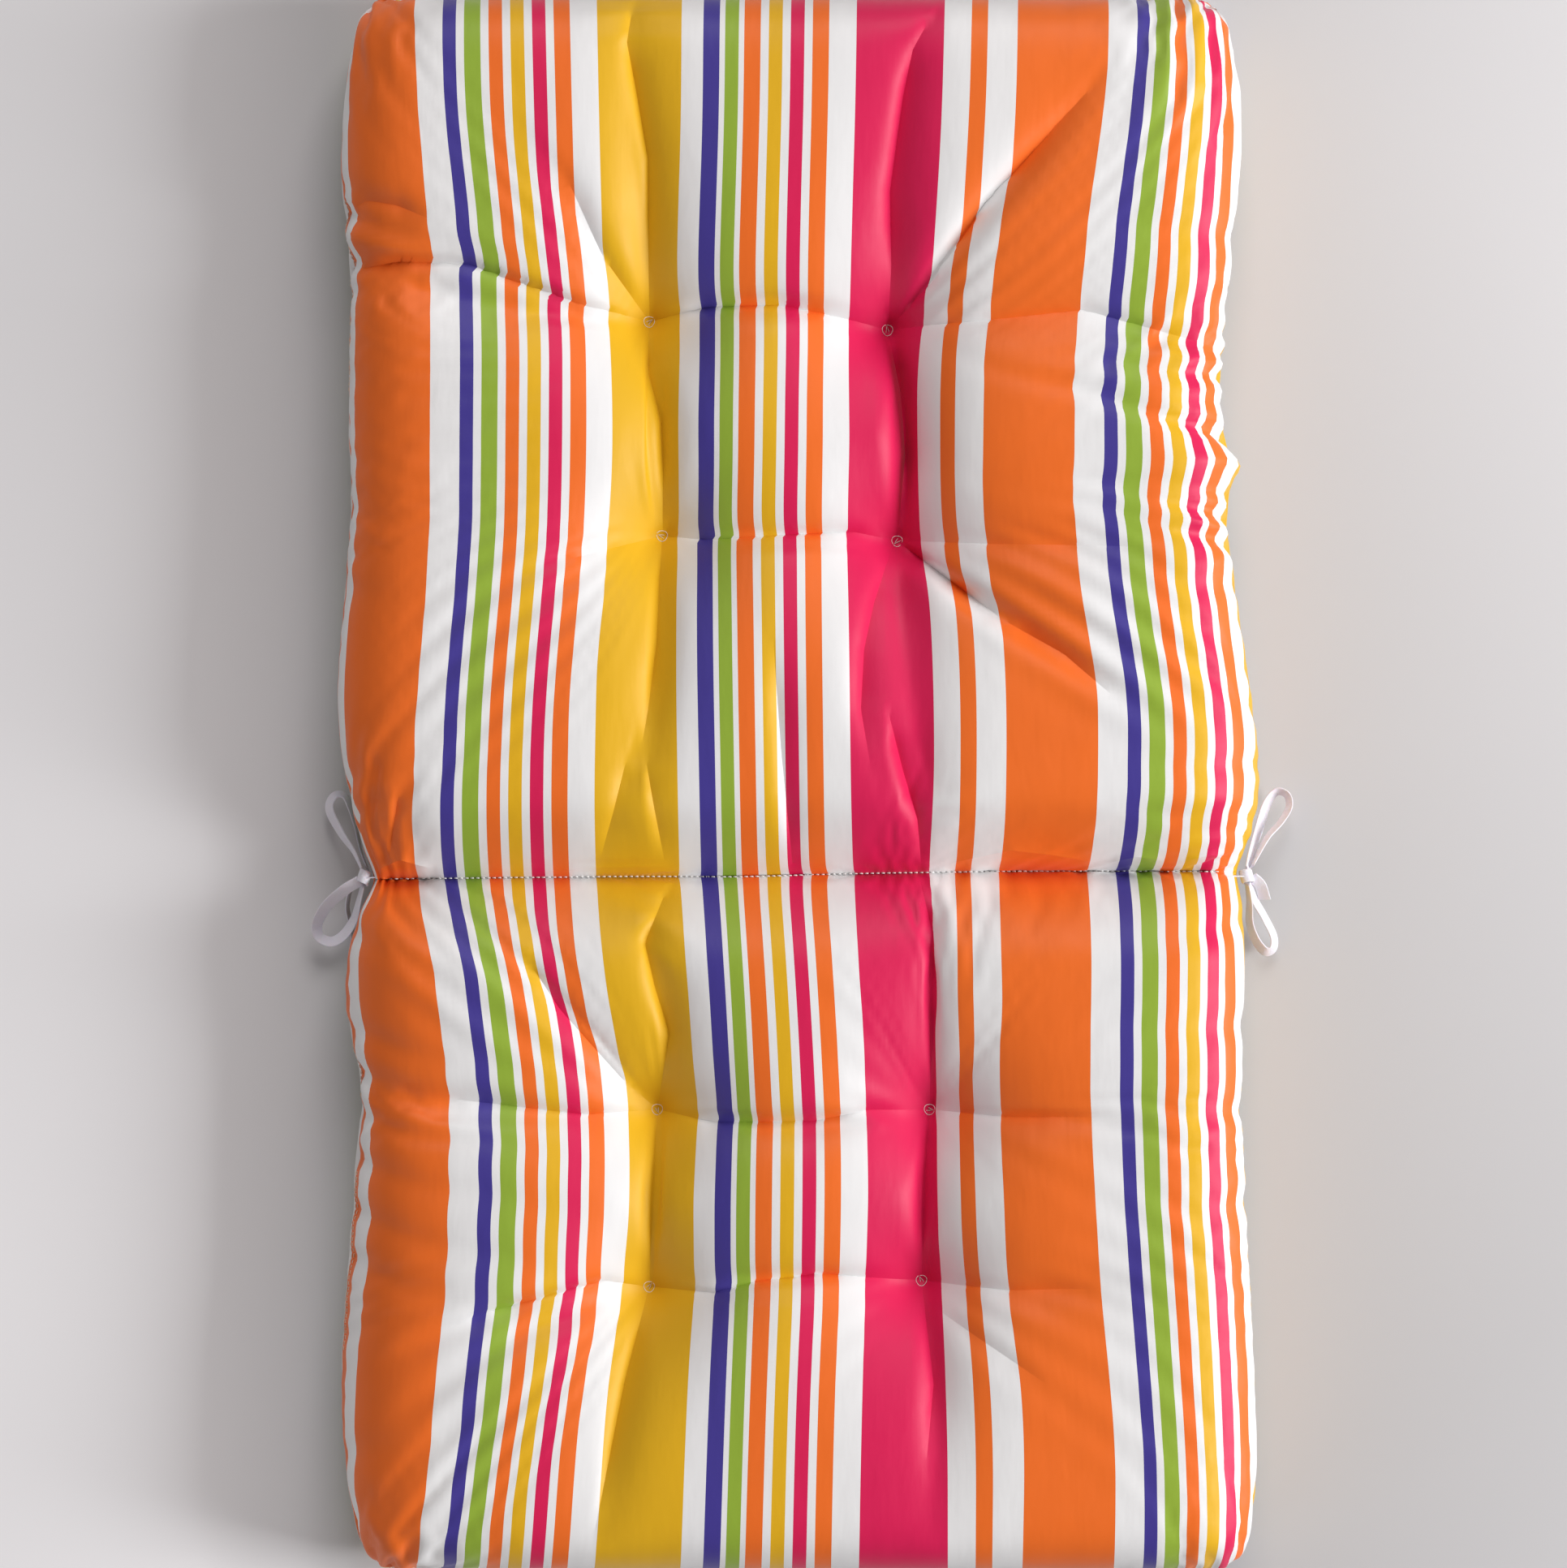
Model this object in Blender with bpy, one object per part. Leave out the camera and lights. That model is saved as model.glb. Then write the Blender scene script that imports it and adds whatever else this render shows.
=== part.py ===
"""A tufted adirondack chair cushion, lying on its back, with a bow of tape at each end of its fold.

Metres, +Z up. X runs across the cushion and +Y towards the top of the chair back. The origin is on
the floor, under the middle of the cushion. The back part and the seat part are one cover, sewn
through along the fold, and eight tufts draw the two faces together.
"""
import math
from collections import namedtuple

import bmesh
import bpy
import numpy as np
from mathutils import Vector

MM = 0.001

# Driving sizes of the cushion
LENGTH = 975 * MM
CROWN_HEIGHT = 99 * MM
SEAM_HEIGHT = 45 * MM
PRESSED_DEPTH = 14 * MM
SIDE_RADIUS = 56 * MM
END_RADIUS = 52 * MM
CORNER_RADIUS = 24 * MM
CROWN_FALL = 0.06

# The fold, sewn through both faces
FOLD_Y = -57 * MM
FOLD_RADIUS = 47 * MM
FOLD_WEB = 7 * MM

# The tufts and the folds between them
TUFT_DEPTH = 41 * MM
TUFT_REACH = 27 * MM
BACK_TUFT_DEPTH = 27 * MM
BACK_TUFT_REACH = 21 * MM
TUFT_SHARPNESS = 1.1
FOLD_SHARPNESS = 1.25
BLEND_POWER = 3.0

# The mesh of the cushion: the step between its lines, at a focus and away from one
COARSE_STEP = 20 * MM
RIM_STEP = 3.5 * MM
TUFT_STEP = 8.5 * MM
RIM_GROWTH = 0.5
TUFT_GROWTH = 0.3

# The tape of the bows
TAPE_WIDTH = 8 * MM
TAPE_THICK = 1.2 * MM
STEPS_PER_POINT = 3
KNOT_RADIUS = (5.0 * MM, 5.6 * MM, 5.2 * MM)
SEAT_GAP = 0.3 * MM

# The outline seen from above: where the left and the right side lie at each station along Y
Section = namedtuple("Section", "along left right")
OUTLINE = [
    Section(487 * MM, -279 * MM, 262 * MM),
    Section(430 * MM, -284 * MM, 268 * MM),
    Section(370 * MM, -287 * MM, 267 * MM),
    Section(335 * MM, -282 * MM, 264 * MM),
    Section(250 * MM, -282 * MM, 258 * MM),
    Section(215 * MM, -282 * MM, 260 * MM),
    Section(196 * MM, -281 * MM, 267 * MM),
    Section(175 * MM, -281 * MM, 263 * MM),
    Section(120 * MM, -285 * MM, 268 * MM),
    Section(50 * MM, -289 * MM, 278 * MM),
    Section(0 * MM, -284 * MM, 283 * MM),
    Section(-35 * MM, -275 * MM, 278 * MM),
    Section(-57 * MM, -267 * MM, 269 * MM),
    Section(-80 * MM, -277 * MM, 273 * MM),
    Section(-130 * MM, -285 * MM, 271 * MM),
    Section(-188 * MM, -275 * MM, 270 * MM),
    Section(-260 * MM, -280 * MM, 273 * MM),
    Section(-390 * MM, -287 * MM, 278 * MM),
    Section(-450 * MM, -282 * MM, 278 * MM),
    Section(-487 * MM, -276 * MM, 277 * MM),
]

# Where the ends of the cushion dip in, above the folds that run into them
Notch = namedtuple("Notch", "end x depth width")
NOTCHES = [
    Notch(1, -84 * MM, 4 * MM, 16 * MM),
    Notch(1, 25 * MM, 3 * MM, 18 * MM),
    Notch(-1, -80 * MM, 4 * MM, 18 * MM),
    Notch(-1, 100 * MM, 2 * MM, 24 * MM),
]

# The tufts: two in each of four rows
Tuft = namedtuple("Tuft", "x y")
TUFTS = {
    "left_1": Tuft(-96 * MM, 287 * MM),
    "right_1": Tuft(52 * MM, 282 * MM),
    "left_2": Tuft(-88 * MM, 154 * MM),
    "right_2": Tuft(58 * MM, 151 * MM),
    "left_3": Tuft(-91 * MM, -202 * MM),
    "right_3": Tuft(78 * MM, -202 * MM),
    "left_4": Tuft(-96 * MM, -312 * MM),
    "right_4": Tuft(73 * MM, -308 * MM),
}

# The folds of the cover: each leaves a tuft for a second tuft or a point, in mm, and grows from
# its depth at the tuft to its depth at the far end. The bow is its swing to its left on the way.
Fold = namedtuple("Fold", "tuft to depth far_depth bow width")
FOLDS = [
    # across, from tuft to tuft
    Fold("left_1", "right_1", 20, 19, 13, 15),
    Fold("left_2", "right_2", 17, 20, 3, 15),
    Fold("left_3", "right_3", 18, 17, -7, 15),
    Fold("left_4", "right_4", 17, 17, 8, 15),
    # across, from a tuft to the side
    Fold("left_1", (-277, 320), 21, 7, 8, 16),
    Fold("right_1", (257, 270), 17, 9, 10, 17),
    Fold("left_2", (-170, 133), 11, 2, -2, 16),
    Fold("right_2", (215, 146), 17, 5, 0, 15),
    Fold("left_3", (-268, -190), 18, 8, 6, 16),
    Fold("right_3", (200, -206), 15, 4, -2, 15),
    Fold("left_4", (-205, -329), 17, 7, 7, 14),
    Fold("right_4", (205, -310), 15, 3, -3, 16),
    # along, from end to end
    Fold("left_1", (-106, 478), 21, 10, 4, 14),
    Fold("right_1", (68, 450), 18, 7, 5, 16),
    Fold("left_1", "left_2", 18, 16, 5, 15),
    Fold("right_1", "right_2", 21, 22, 7, 15),
    Fold("left_2", (-98, 20), 17, 11, 4, 13),
    Fold("right_2", (76, -5), 20, 7, -3, 15),
    Fold("left_3", (-98, -95), 19, 13, -9, 13),
    Fold("right_3", (78, -85), 17, 8, -2, 14),
    Fold("left_3", "left_4", 15, 15, 0, 14),
    Fold("right_3", "right_4", 17, 17, -3, 14),
    Fold("left_4", (-126, -465), 17, 8, 0, 15),
    Fold("right_4", (78, -455), 19, 6, 6, 15),
    # across the corner of a panel
    Fold("right_2", (128, 96), 25, 14, -4, 11),
    Fold("right_1", (178, 430), 19, 4, 4, 15),
    Fold("left_1", (-146, 373), 17, 6, 3, 13),
    Fold("left_3", (-167, -114), 18, 6, -4, 13),
    Fold("right_4", (152, -371), 15, 4, 2, 14),
]

# The bows of tape: the points of each run, in mm, with the lean of the tape from upright
TapePoint = namedtuple("TapePoint", "x y z lean")
LEFT_KNOT = TapePoint(-273.4, -58.5, 43, 0)
LEFT_RUNS = {
    "upper_loop": [
        TapePoint(-274.5, -54.5, 42, 10),
        TapePoint(-281.0, -42.0, 31, 20),
        TapePoint(-290.0, -30.0, 19, 35),
        TapePoint(-297.2, -16.0, 14, 42),
        TapePoint(-294.5, -7.5, 13, 35),
        TapePoint(-288.0, -7.2, 13, 25),
        TapePoint(-284.0, -15.0, 14, 20),
        TapePoint(-280.5, -27.0, 15, 12),
        TapePoint(-277.0, -41.0, 24, 5),
        TapePoint(-271.8, -53.5, 38, 0),
    ],
    "lower_loop": [
        TapePoint(-276.0, -60.0, 43, 55),
        TapePoint(-286.0, -66.0, 39, 60),
        TapePoint(-298.0, -76.5, 29, 58),
        TapePoint(-304.5, -88.0, 20, 52),
        TapePoint(-303.0, -96.0, 16, 48),
        TapePoint(-295.5, -98.8, 15, 50),
        TapePoint(-287.5, -94.0, 17, 50),
        TapePoint(-281.0, -84.0, 22, 40),
        TapePoint(-277.5, -73.0, 33, 25),
        TapePoint(-274.5, -62.5, 41, 20),
    ],
    "free_end": [
        TapePoint(-276.5, -57.5, 40, 10),
        TapePoint(-283.0, -66.0, 27, 10),
        TapePoint(-286.0, -78.0, 11, 12),
        TapePoint(-283.5, -91.0, 6.5, 15),
        TapePoint(-282.0, -103.0, 6.0, 18),
    ],
}
RIGHT_KNOT = TapePoint(275.6, -57.5, 43, 0)
RIGHT_RUNS = {
    "upper_loop": [
        TapePoint(275.8, -53.5, 42, -20),
        TapePoint(279.5, -42.0, 33, -35),
        TapePoint(285.5, -27.0, 17, -48),
        TapePoint(290.5, -12.5, 13, -45),
        TapePoint(296.5, -4.8, 13, -35),
        TapePoint(303.0, -7.0, 14, -28),
        TapePoint(304.2, -14.5, 15, -25),
        TapePoint(299.0, -23.5, 17, -22),
        TapePoint(289.5, -34.0, 25, -18),
        TapePoint(278.5, -52.0, 40, -10),
    ],
    "lower_loop": [
        TapePoint(276.0, -61.0, 42, -10),
        TapePoint(278.3, -74.0, 31, -20),
        TapePoint(279.5, -87.0, 17, -30),
        TapePoint(283.5, -98.0, 13, -38),
        TapePoint(289.5, -105.0, 12, -42),
        TapePoint(294.5, -103.0, 12, -38),
        TapePoint(294.5, -95.0, 14, -35),
        TapePoint(288.0, -82.5, 21, -35),
        TapePoint(281.5, -72.0, 32, -35),
        TapePoint(277.5, -60.5, 41, -25),
    ],
    "free_end": [
        TapePoint(278.8, -57.5, 42, -55),
        TapePoint(284.5, -63.0, 38, -60),
        TapePoint(288.0, -72.0, 30, -60),
    ],
}


def clear_scene():
    """Remove what a new file starts with."""
    for old in list(bpy.data.objects):
        bpy.data.objects.remove(old, do_unlink=True)


def make_material(name, colour, roughness):
    """A plain cloth material with one colour."""
    material = bpy.data.materials.new(name)
    material.use_nodes = True
    shader = material.node_tree.nodes["Principled BSDF"]
    shader.inputs["Base Color"].default_value = (*colour, 1.0)
    shader.inputs["Roughness"].default_value = roughness
    shader.inputs["Metallic"].default_value = 0.0
    return material


def walk_lines(start, end, focuses):
    """Line positions from start to end, close together at each focus and wide apart elsewhere."""
    places = [start]
    while places[-1] < end:
        here = places[-1]
        steps = [fine + growth * abs(here - at) for at, fine, growth in focuses]
        places.append(here + min(COARSE_STEP, *steps))
    scale = (end - start) / (places[-1] - start)
    return [start + (place - start) * scale for place in places]


def outline_side(y, side):
    """The X of the left or right side at a station y, as a smooth curve through the sections."""
    ordered = sorted(OUTLINE)
    along = np.array([row.along for row in ordered])
    across = np.array([getattr(row, side) for row in ordered])
    slope = np.gradient(across, along)
    at = int(np.clip(np.searchsorted(along, y) - 1, 0, len(along) - 2))
    span = along[at + 1] - along[at]
    t = (y - along[at]) / span
    start = (1 + 2 * t) * (1 - t) ** 2 * across[at] + t * (1 - t) ** 2 * span * slope[at]
    end = t * t * (3 - 2 * t) * across[at + 1] + t * t * (t - 1) * span * slope[at + 1]
    return start + end


def corner_inset(y):
    """How far the round corners draw the sides in, near the two ends."""
    past = abs(y) - (LENGTH / 2 - CORNER_RADIUS)
    if past <= 0:
        return 0.0
    return CORNER_RADIUS - math.sqrt(max(0.0, CORNER_RADIUS**2 - past**2))


def end_inset(x, end):
    """How far the notches draw an end of the cushion in, at x."""
    return sum(
        notch.depth * math.exp(-(((x - notch.x) / notch.width) ** 2))
        for notch in NOTCHES
        if notch.end == end
    )


def swell(distance, radius):
    """The height of a filled edge, from 0 at the seam to 1 a radius away, as a quarter circle."""
    inward = 1 - min(max(distance / radius, 0), 1)
    return math.sqrt(1 - inward * inward)


def fold_drop(fold, x, y):
    """How deep one fold of the cover is at a point."""
    start = Vector(TUFTS[fold.tuft])
    end = Vector(TUFTS[fold.to]) if fold.to in TUFTS else Vector(fold.to) * MM
    chord = end - start
    along = Vector((x, y)) - start
    t = min(max(along.dot(chord) / chord.length_squared, 0), 1)
    leftward = Vector((-chord.y, chord.x)).normalized()
    middle = start + chord * t + leftward * fold.bow * MM * 4 * t * (1 - t)
    distance = (Vector((x, y)) - middle).length / (fold.width * MM)
    depth = fold.depth + (fold.far_depth - fold.depth) * t
    return depth * MM * math.exp(-(distance**FOLD_SHARPNESS))


def tuft_drop(x, y, depth, reach):
    """How deep the nearest tufts draw a face in at a point."""
    total = 0.0
    for tuft in TUFTS.values():
        distance = math.hypot(x - tuft.x, y - tuft.y) / reach
        total = max(total, depth * math.exp(-(distance**TUFT_SHARPNESS)))
    return total


def front_drop(x, y):
    """How deep the front face lies below its crown at a point."""
    drops = [tuft_drop(x, y, TUFT_DEPTH, TUFT_REACH)]
    drops += [fold_drop(fold, x, y) for fold in FOLDS]
    return sum(drop**BLEND_POWER for drop in drops) ** (1 / BLEND_POWER)


def fullness(x, y, left, right):
    """How full the filling is at a point: 0 at the seam, 1 in the middle of a part."""
    half = (right - left) / 2
    off_centre = (x - (left + right) / 2) / half
    side = swell(half * (1 - abs(off_centre)), SIDE_RADIUS)
    end = swell(LENGTH / 2 - abs(y), END_RADIUS)
    fold = swell(abs(y - FOLD_Y), FOLD_RADIUS)
    crown = 1 - CROWN_FALL * off_centre**2
    return side * end * crown, fold


def face_heights(x, y, left, right):
    """The heights of the front and the back face at a point."""
    full, fold = fullness(x, y, left, right)
    web = FOLD_WEB / 2 * full
    front = (CROWN_HEIGHT - SEAM_HEIGHT) * full * fold - front_drop(x, y) * full * fold
    back = (SEAM_HEIGHT + PRESSED_DEPTH) * full * fold
    back -= tuft_drop(x, y, BACK_TUFT_DEPTH, BACK_TUFT_REACH) * full * fold
    return SEAM_HEIGHT + max(front, web), max(SEAM_HEIGHT - max(back, web), 0.0)


def cushion_mesh():
    """A grid for each face, joined along the seam, moved to the shape of the filled cover."""
    middle_left = outline_side(0, "left")
    middle_right = outline_side(0, "right")
    rim = [(end, RIM_STEP, RIM_GROWTH) for end in (middle_left, middle_right)]
    tuft_columns = [(tuft.x, TUFT_STEP, TUFT_GROWTH) for tuft in TUFTS.values()]
    columns = walk_lines(middle_left, middle_right, rim + tuft_columns)
    ends = [(at, RIM_STEP, RIM_GROWTH) for at in (-LENGTH / 2, FOLD_Y, LENGTH / 2)]
    tuft_rows = [(tuft.y, TUFT_STEP, TUFT_GROWTH) for tuft in TUFTS.values()]
    rows = walk_lines(-LENGTH / 2, FOLD_Y, ends + tuft_rows)
    rows += walk_lines(FOLD_Y, LENGTH / 2, ends + tuft_rows)[1:]

    bm = bmesh.new()
    front, back = [], []
    for y in rows:
        left = outline_side(y, "left") + corner_inset(y)
        right = outline_side(y, "right") - corner_inset(y)
        end = 1 if y > 0 else -1
        nearness = max(0.0, 1 - (LENGTH / 2 - abs(y)) / (2 * END_RADIUS))
        front_row, back_row = [], []
        for column in columns:
            x = left + (right - left) * (column - middle_left) / (middle_right - middle_left)
            place_y = y - end * end_inset(x, end) * nearness
            above, below = face_heights(x, y, left, right)
            if y in (rows[0], rows[-1]) or column in (columns[0], columns[-1]):
                seam_vert = bm.verts.new((x, place_y, SEAM_HEIGHT))
                front_row.append(seam_vert)
                back_row.append(seam_vert)
            else:
                front_row.append(bm.verts.new((x, place_y, above)))
                back_row.append(bm.verts.new((x, place_y, below)))
        front.append(front_row)
        back.append(back_row)
    for face, turn in ((front, 1), (back, -1)):
        for low, high in zip(face, face[1:]):
            for at in range(len(columns) - 1):
                corners = [low[at], low[at + 1], high[at + 1], high[at]]
                # each quad is cut along the line that points to the middle of the cushion
                if (corners[0].co.x > 0) == (corners[0].co.y < 0):
                    corners = corners[1:] + corners[:1]
                for triangle in (corners[:3], corners[2:] + corners[:1]):
                    bm.faces.new(triangle[::turn])
    mesh = bpy.data.meshes.new("cushion")
    bm.to_mesh(mesh)
    bm.free()
    mesh.shade_smooth()
    return mesh


def smooth_run(points):
    """Places and leans along a smooth curve through the points of one run of tape."""
    values = np.array([(p.x, p.y, p.z, p.lean) for p in points], dtype=float)
    padded = np.vstack([2 * values[0] - values[1], values, 2 * values[-1] - values[-2]])
    run = []
    for at in range(1, len(padded) - 2):
        before, start, end, after = padded[at - 1 : at + 3]
        for step in range(STEPS_PER_POINT):
            t = step / STEPS_PER_POINT
            run.append(
                0.5 * (2 * start + (end - before) * t)
                + 0.5 * (2 * before - 5 * start + 4 * end - after) * t**2
                + 0.5 * (3 * start - before - 3 * end + after) * t**3
            )
    run.append(values[-1])
    return [(Vector(row[:3]) * MM, math.radians(row[3])) for row in run]


def tape_object(name, points):
    """One run of tape: a flat rectangle carried along its curve."""
    run = smooth_run(points)
    bm = bmesh.new()
    rings = []
    for at, (place, lean) in enumerate(run):
        before = run[max(at - 1, 0)][0]
        after = run[min(at + 1, len(run) - 1)][0]
        forward = (after - before).normalized()
        sideways = forward.cross(Vector((0, 0, 1))).normalized()
        upright = sideways.cross(forward)
        width_way = upright * math.cos(lean) + sideways * math.sin(lean)
        thick_way = forward.cross(width_way)
        corners = [(-1, -1), (1, -1), (1, 1), (-1, 1)]
        rings.append(
            [
                bm.verts.new(place + width_way * w * TAPE_WIDTH / 2 + thick_way * t * TAPE_THICK / 2)
                for w, t in corners
            ]
        )
    for low, high in zip(rings, rings[1:]):
        for side in range(4):
            other = (side + 1) % 4
            bm.faces.new([low[side], low[other], high[other], high[side]])
    bm.faces.new(rings[0][::-1])
    bm.faces.new(rings[-1])
    bmesh.ops.recalc_face_normals(bm, faces=bm.faces)
    mesh = bpy.data.meshes.new(name)
    bm.to_mesh(mesh)
    bm.free()
    tape = bpy.data.objects.new(name, mesh)
    bpy.context.collection.objects.link(tape)
    return tape


def root_points(knot, seam_x):
    """The short run of tape from the knot to the seam that it is sewn into."""
    return [
        TapePoint(knot.x, knot.y, knot.z, 0),
        TapePoint((knot.x + seam_x) / 2, knot.y, knot.z, 0),
        TapePoint(seam_x, knot.y, knot.z, 0),
    ]


def make_bow(name, knot, runs, seam_x, material):
    """A bow: a knot with its runs of tape, united into one solid."""
    mesh = bpy.data.meshes.new(name)
    bm = bmesh.new()
    bmesh.ops.create_icosphere(bm, subdivisions=2, radius=1)
    bmesh.ops.scale(bm, vec=KNOT_RADIUS, verts=bm.verts)
    bmesh.ops.translate(bm, vec=Vector((knot.x, knot.y, knot.z)) * MM, verts=bm.verts)
    bm.to_mesh(mesh)
    bm.free()
    bow = bpy.data.objects.new(name, mesh)
    bpy.context.collection.objects.link(bow)
    mesh.materials.append(material)
    all_runs = dict(runs, root=root_points(knot, seam_x))
    for run_name, points in all_runs.items():
        tape = tape_object(f"{name}_{run_name}", points)
        tape.hide_render = True
        tape.display_type = "WIRE"
        union = bow.modifiers.new(run_name, "BOOLEAN")
        union.operation = "UNION"
        union.solver = "EXACT"
        union.use_self = True
        union.object = tape
    return bow


def main():
    clear_scene()
    striped_cloth = make_material("striped_cloth", (0.86, 0.36, 0.12), 0.45)
    white_tape = make_material("white_tape", (0.88, 0.87, 0.90), 0.8)

    cushion = bpy.data.objects.new("cushion", cushion_mesh())
    cushion.data.materials.append(striped_cloth)
    bpy.context.collection.objects.link(cushion)

    left_seam = (outline_side(FOLD_Y, "left") - SEAT_GAP) / MM
    right_seam = (outline_side(FOLD_Y, "right") + SEAT_GAP) / MM
    make_bow("tie_left", LEFT_KNOT, LEFT_RUNS, left_seam, white_tape)
    make_bow("tie_right", RIGHT_KNOT, RIGHT_RUNS, right_seam, white_tape)


main()
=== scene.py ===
# %% [markdown]
# # A tufted chair cushion in striped cloth
# The real cushion is a cover of striped polyester, closed along one seam and filled with loose
# fibre. It is sewn across at the fold between back and seat, and eight tufts draw its two faces
# together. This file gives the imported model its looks: the cover as gathered cloth, the sewing,
# and the two bows of white tape. Everything is in metres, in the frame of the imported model.

import math
from collections import namedtuple

import bmesh
import bpy
import numpy as np
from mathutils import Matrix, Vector
from mathutils.bvhtree import BVHTree


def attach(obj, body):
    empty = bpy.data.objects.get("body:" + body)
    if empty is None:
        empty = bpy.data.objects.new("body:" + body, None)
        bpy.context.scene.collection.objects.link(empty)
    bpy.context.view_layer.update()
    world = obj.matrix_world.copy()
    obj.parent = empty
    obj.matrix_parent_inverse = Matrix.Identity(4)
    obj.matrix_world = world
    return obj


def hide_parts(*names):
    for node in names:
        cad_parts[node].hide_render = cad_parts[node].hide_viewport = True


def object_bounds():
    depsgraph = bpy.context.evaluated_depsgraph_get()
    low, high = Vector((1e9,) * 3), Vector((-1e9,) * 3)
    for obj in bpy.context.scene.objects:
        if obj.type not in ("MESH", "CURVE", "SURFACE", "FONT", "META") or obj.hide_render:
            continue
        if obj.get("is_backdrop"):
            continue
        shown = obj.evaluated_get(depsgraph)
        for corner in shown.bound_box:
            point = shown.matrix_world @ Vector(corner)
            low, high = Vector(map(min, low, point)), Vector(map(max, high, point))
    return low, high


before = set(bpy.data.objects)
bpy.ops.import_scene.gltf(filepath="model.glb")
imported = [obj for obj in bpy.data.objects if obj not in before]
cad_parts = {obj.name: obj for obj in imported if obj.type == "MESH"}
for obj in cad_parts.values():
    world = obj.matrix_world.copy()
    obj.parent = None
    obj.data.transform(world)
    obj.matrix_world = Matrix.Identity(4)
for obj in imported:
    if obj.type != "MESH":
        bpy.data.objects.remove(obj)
cad_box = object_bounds()
MM = 0.001
print("CAD box in mm:", [[round(x / MM, 1) for x in corner] for corner in cad_box])

# %% [markdown]
# ## Helpers
# Every material here is made of nodes, and every piece is built from points and faces. So a few
# short functions come first: one adds a node and links its inputs in one line, others do a sum,
# bring a value to another range or read a noise, and the last two put an object into the scene,
# from its data or from built faces.

# %% Write the helpers
Noise = namedtuple("Noise", "scale detail stretch", defaults=[(1, 1, 1)])


def srgb(red, green, blue):
    """A colour as seen on a screen, 0 to 255, as the linear colour that a shader takes."""
    shares = [channel / 255 for channel in (red, green, blue)]
    return tuple(c / 12.92 if c <= 0.04045 else ((c + 0.055) / 1.055) ** 2.4 for c in shares)


def new_material(name):
    """A node material with its shader, and its tree to add nodes to."""
    material = bpy.data.materials.new(name)
    material.use_nodes = True
    tree = material.node_tree
    return material, tree, tree.nodes["Principled BSDF"]


def set_inputs(tree, node, inputs):
    """Set inputs of a node, by name or number, each to a value or to an output of another node."""
    for key, value in inputs.items():
        if isinstance(value, bpy.types.NodeSocket):
            tree.links.new(value, node.inputs[key])
        else:
            node.inputs[key].default_value = value


def new_node(tree, kind, inputs, **settings):
    """A node of a kind, with its settings and its inputs."""
    node = tree.nodes.new(f"ShaderNode{kind}")
    for name, value in settings.items():
        setattr(node, name, value)
    set_inputs(tree, node, inputs)
    return node


def object_place(tree):
    """The place on the object itself, in metres."""
    return new_node(tree, "TexCoord", {}).outputs["Object"]


def math_node(tree, operation, first, second=0):
    """One sum, as a node: first and second are numbers or outputs."""
    return new_node(tree, "Math", {0: first, 1: second}, operation=operation).outputs[0]


def scaled(tree, colour, share):
    """A colour made lighter or darker by a share."""
    return new_node(tree, "VectorMath", {0: colour, "Scale": share}, operation="SCALE").outputs[0]


def ranged(tree, value, source, result=(0, 1), **settings):
    """A value brought from one range to another, which it never leaves."""
    inputs = {"Value": value, "From Min": source[0], "From Max": source[1]}
    inputs.update({"To Min": result[0], "To Max": result[1]})
    return new_node(tree, "MapRange", inputs, **settings).outputs["Result"]


def noise_value(tree, vector, noise):
    """A smooth noise, which can be stretched along one way of the cloth."""
    mapping = new_node(tree, "Mapping", {"Vector": vector, "Scale": noise.stretch})
    inputs = {"Vector": mapping.outputs["Vector"], "Scale": noise.scale, "Detail": noise.detail}
    return new_node(tree, "TexNoise", inputs).outputs["Fac"]


def linked(name, data):
    """A new object in the scene."""
    piece = bpy.data.objects.new(name, data)
    bpy.context.scene.collection.objects.link(piece)
    return piece


def piece_from(name, bm, material):
    """An object made from built faces, with its material."""
    bmesh.ops.recalc_face_normals(bm, faces=bm.faces)
    mesh = bpy.data.meshes.new(name)
    bm.to_mesh(mesh)
    bm.free()
    mesh.materials.append(material)
    return linked(name, mesh)


print("helpers ready; mid grey in linear light:", round(srgb(128, 128, 128)[0], 3))

# %% [markdown]
# ## Camera, floor and light
# The cushion is seen from straight above, from far off, as through a long lens. A far camera
# keeps the sides from leaning outward. The light is one large soft lamp, low on the right, which
# leaves a broad soft shadow on the left. A second one beyond the top end lights the far side of
# each crease that runs across, so that these creases show too. A third, faint one at the lower
# left keeps the shaded side from going flat. The floor has painted light and shade in its colour:
# painted light far out on the left, painted shade nearer the cushion, and painted shade towards
# two of its corners with painted light at the other two. Beyond the picture it turns plain.

# %% Set the camera over the cushion
PICTURE_WIDTH = 966 * MM
CAMERA_HEIGHT = 4.2
SUBJECT_HEIGHT = 85 * MM
CAMERA_X = -12.6 * MM
SENSOR_WIDTH = 36.0


def add_camera():
    """A long-lens camera that looks straight down, with +Y at the top of the picture."""
    data = bpy.data.cameras.new("camera_above")
    data.sensor_width = SENSOR_WIDTH
    data.lens = SENSOR_WIDTH * (CAMERA_HEIGHT - SUBJECT_HEIGHT) / PICTURE_WIDTH
    data.clip_end = 50
    camera = linked("camera_above", data)
    camera.location = (CAMERA_X, 0, CAMERA_HEIGHT)
    bpy.context.scene.camera = camera
    return camera


print("lens in mm:", round(add_camera().data.lens, 1))

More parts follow.
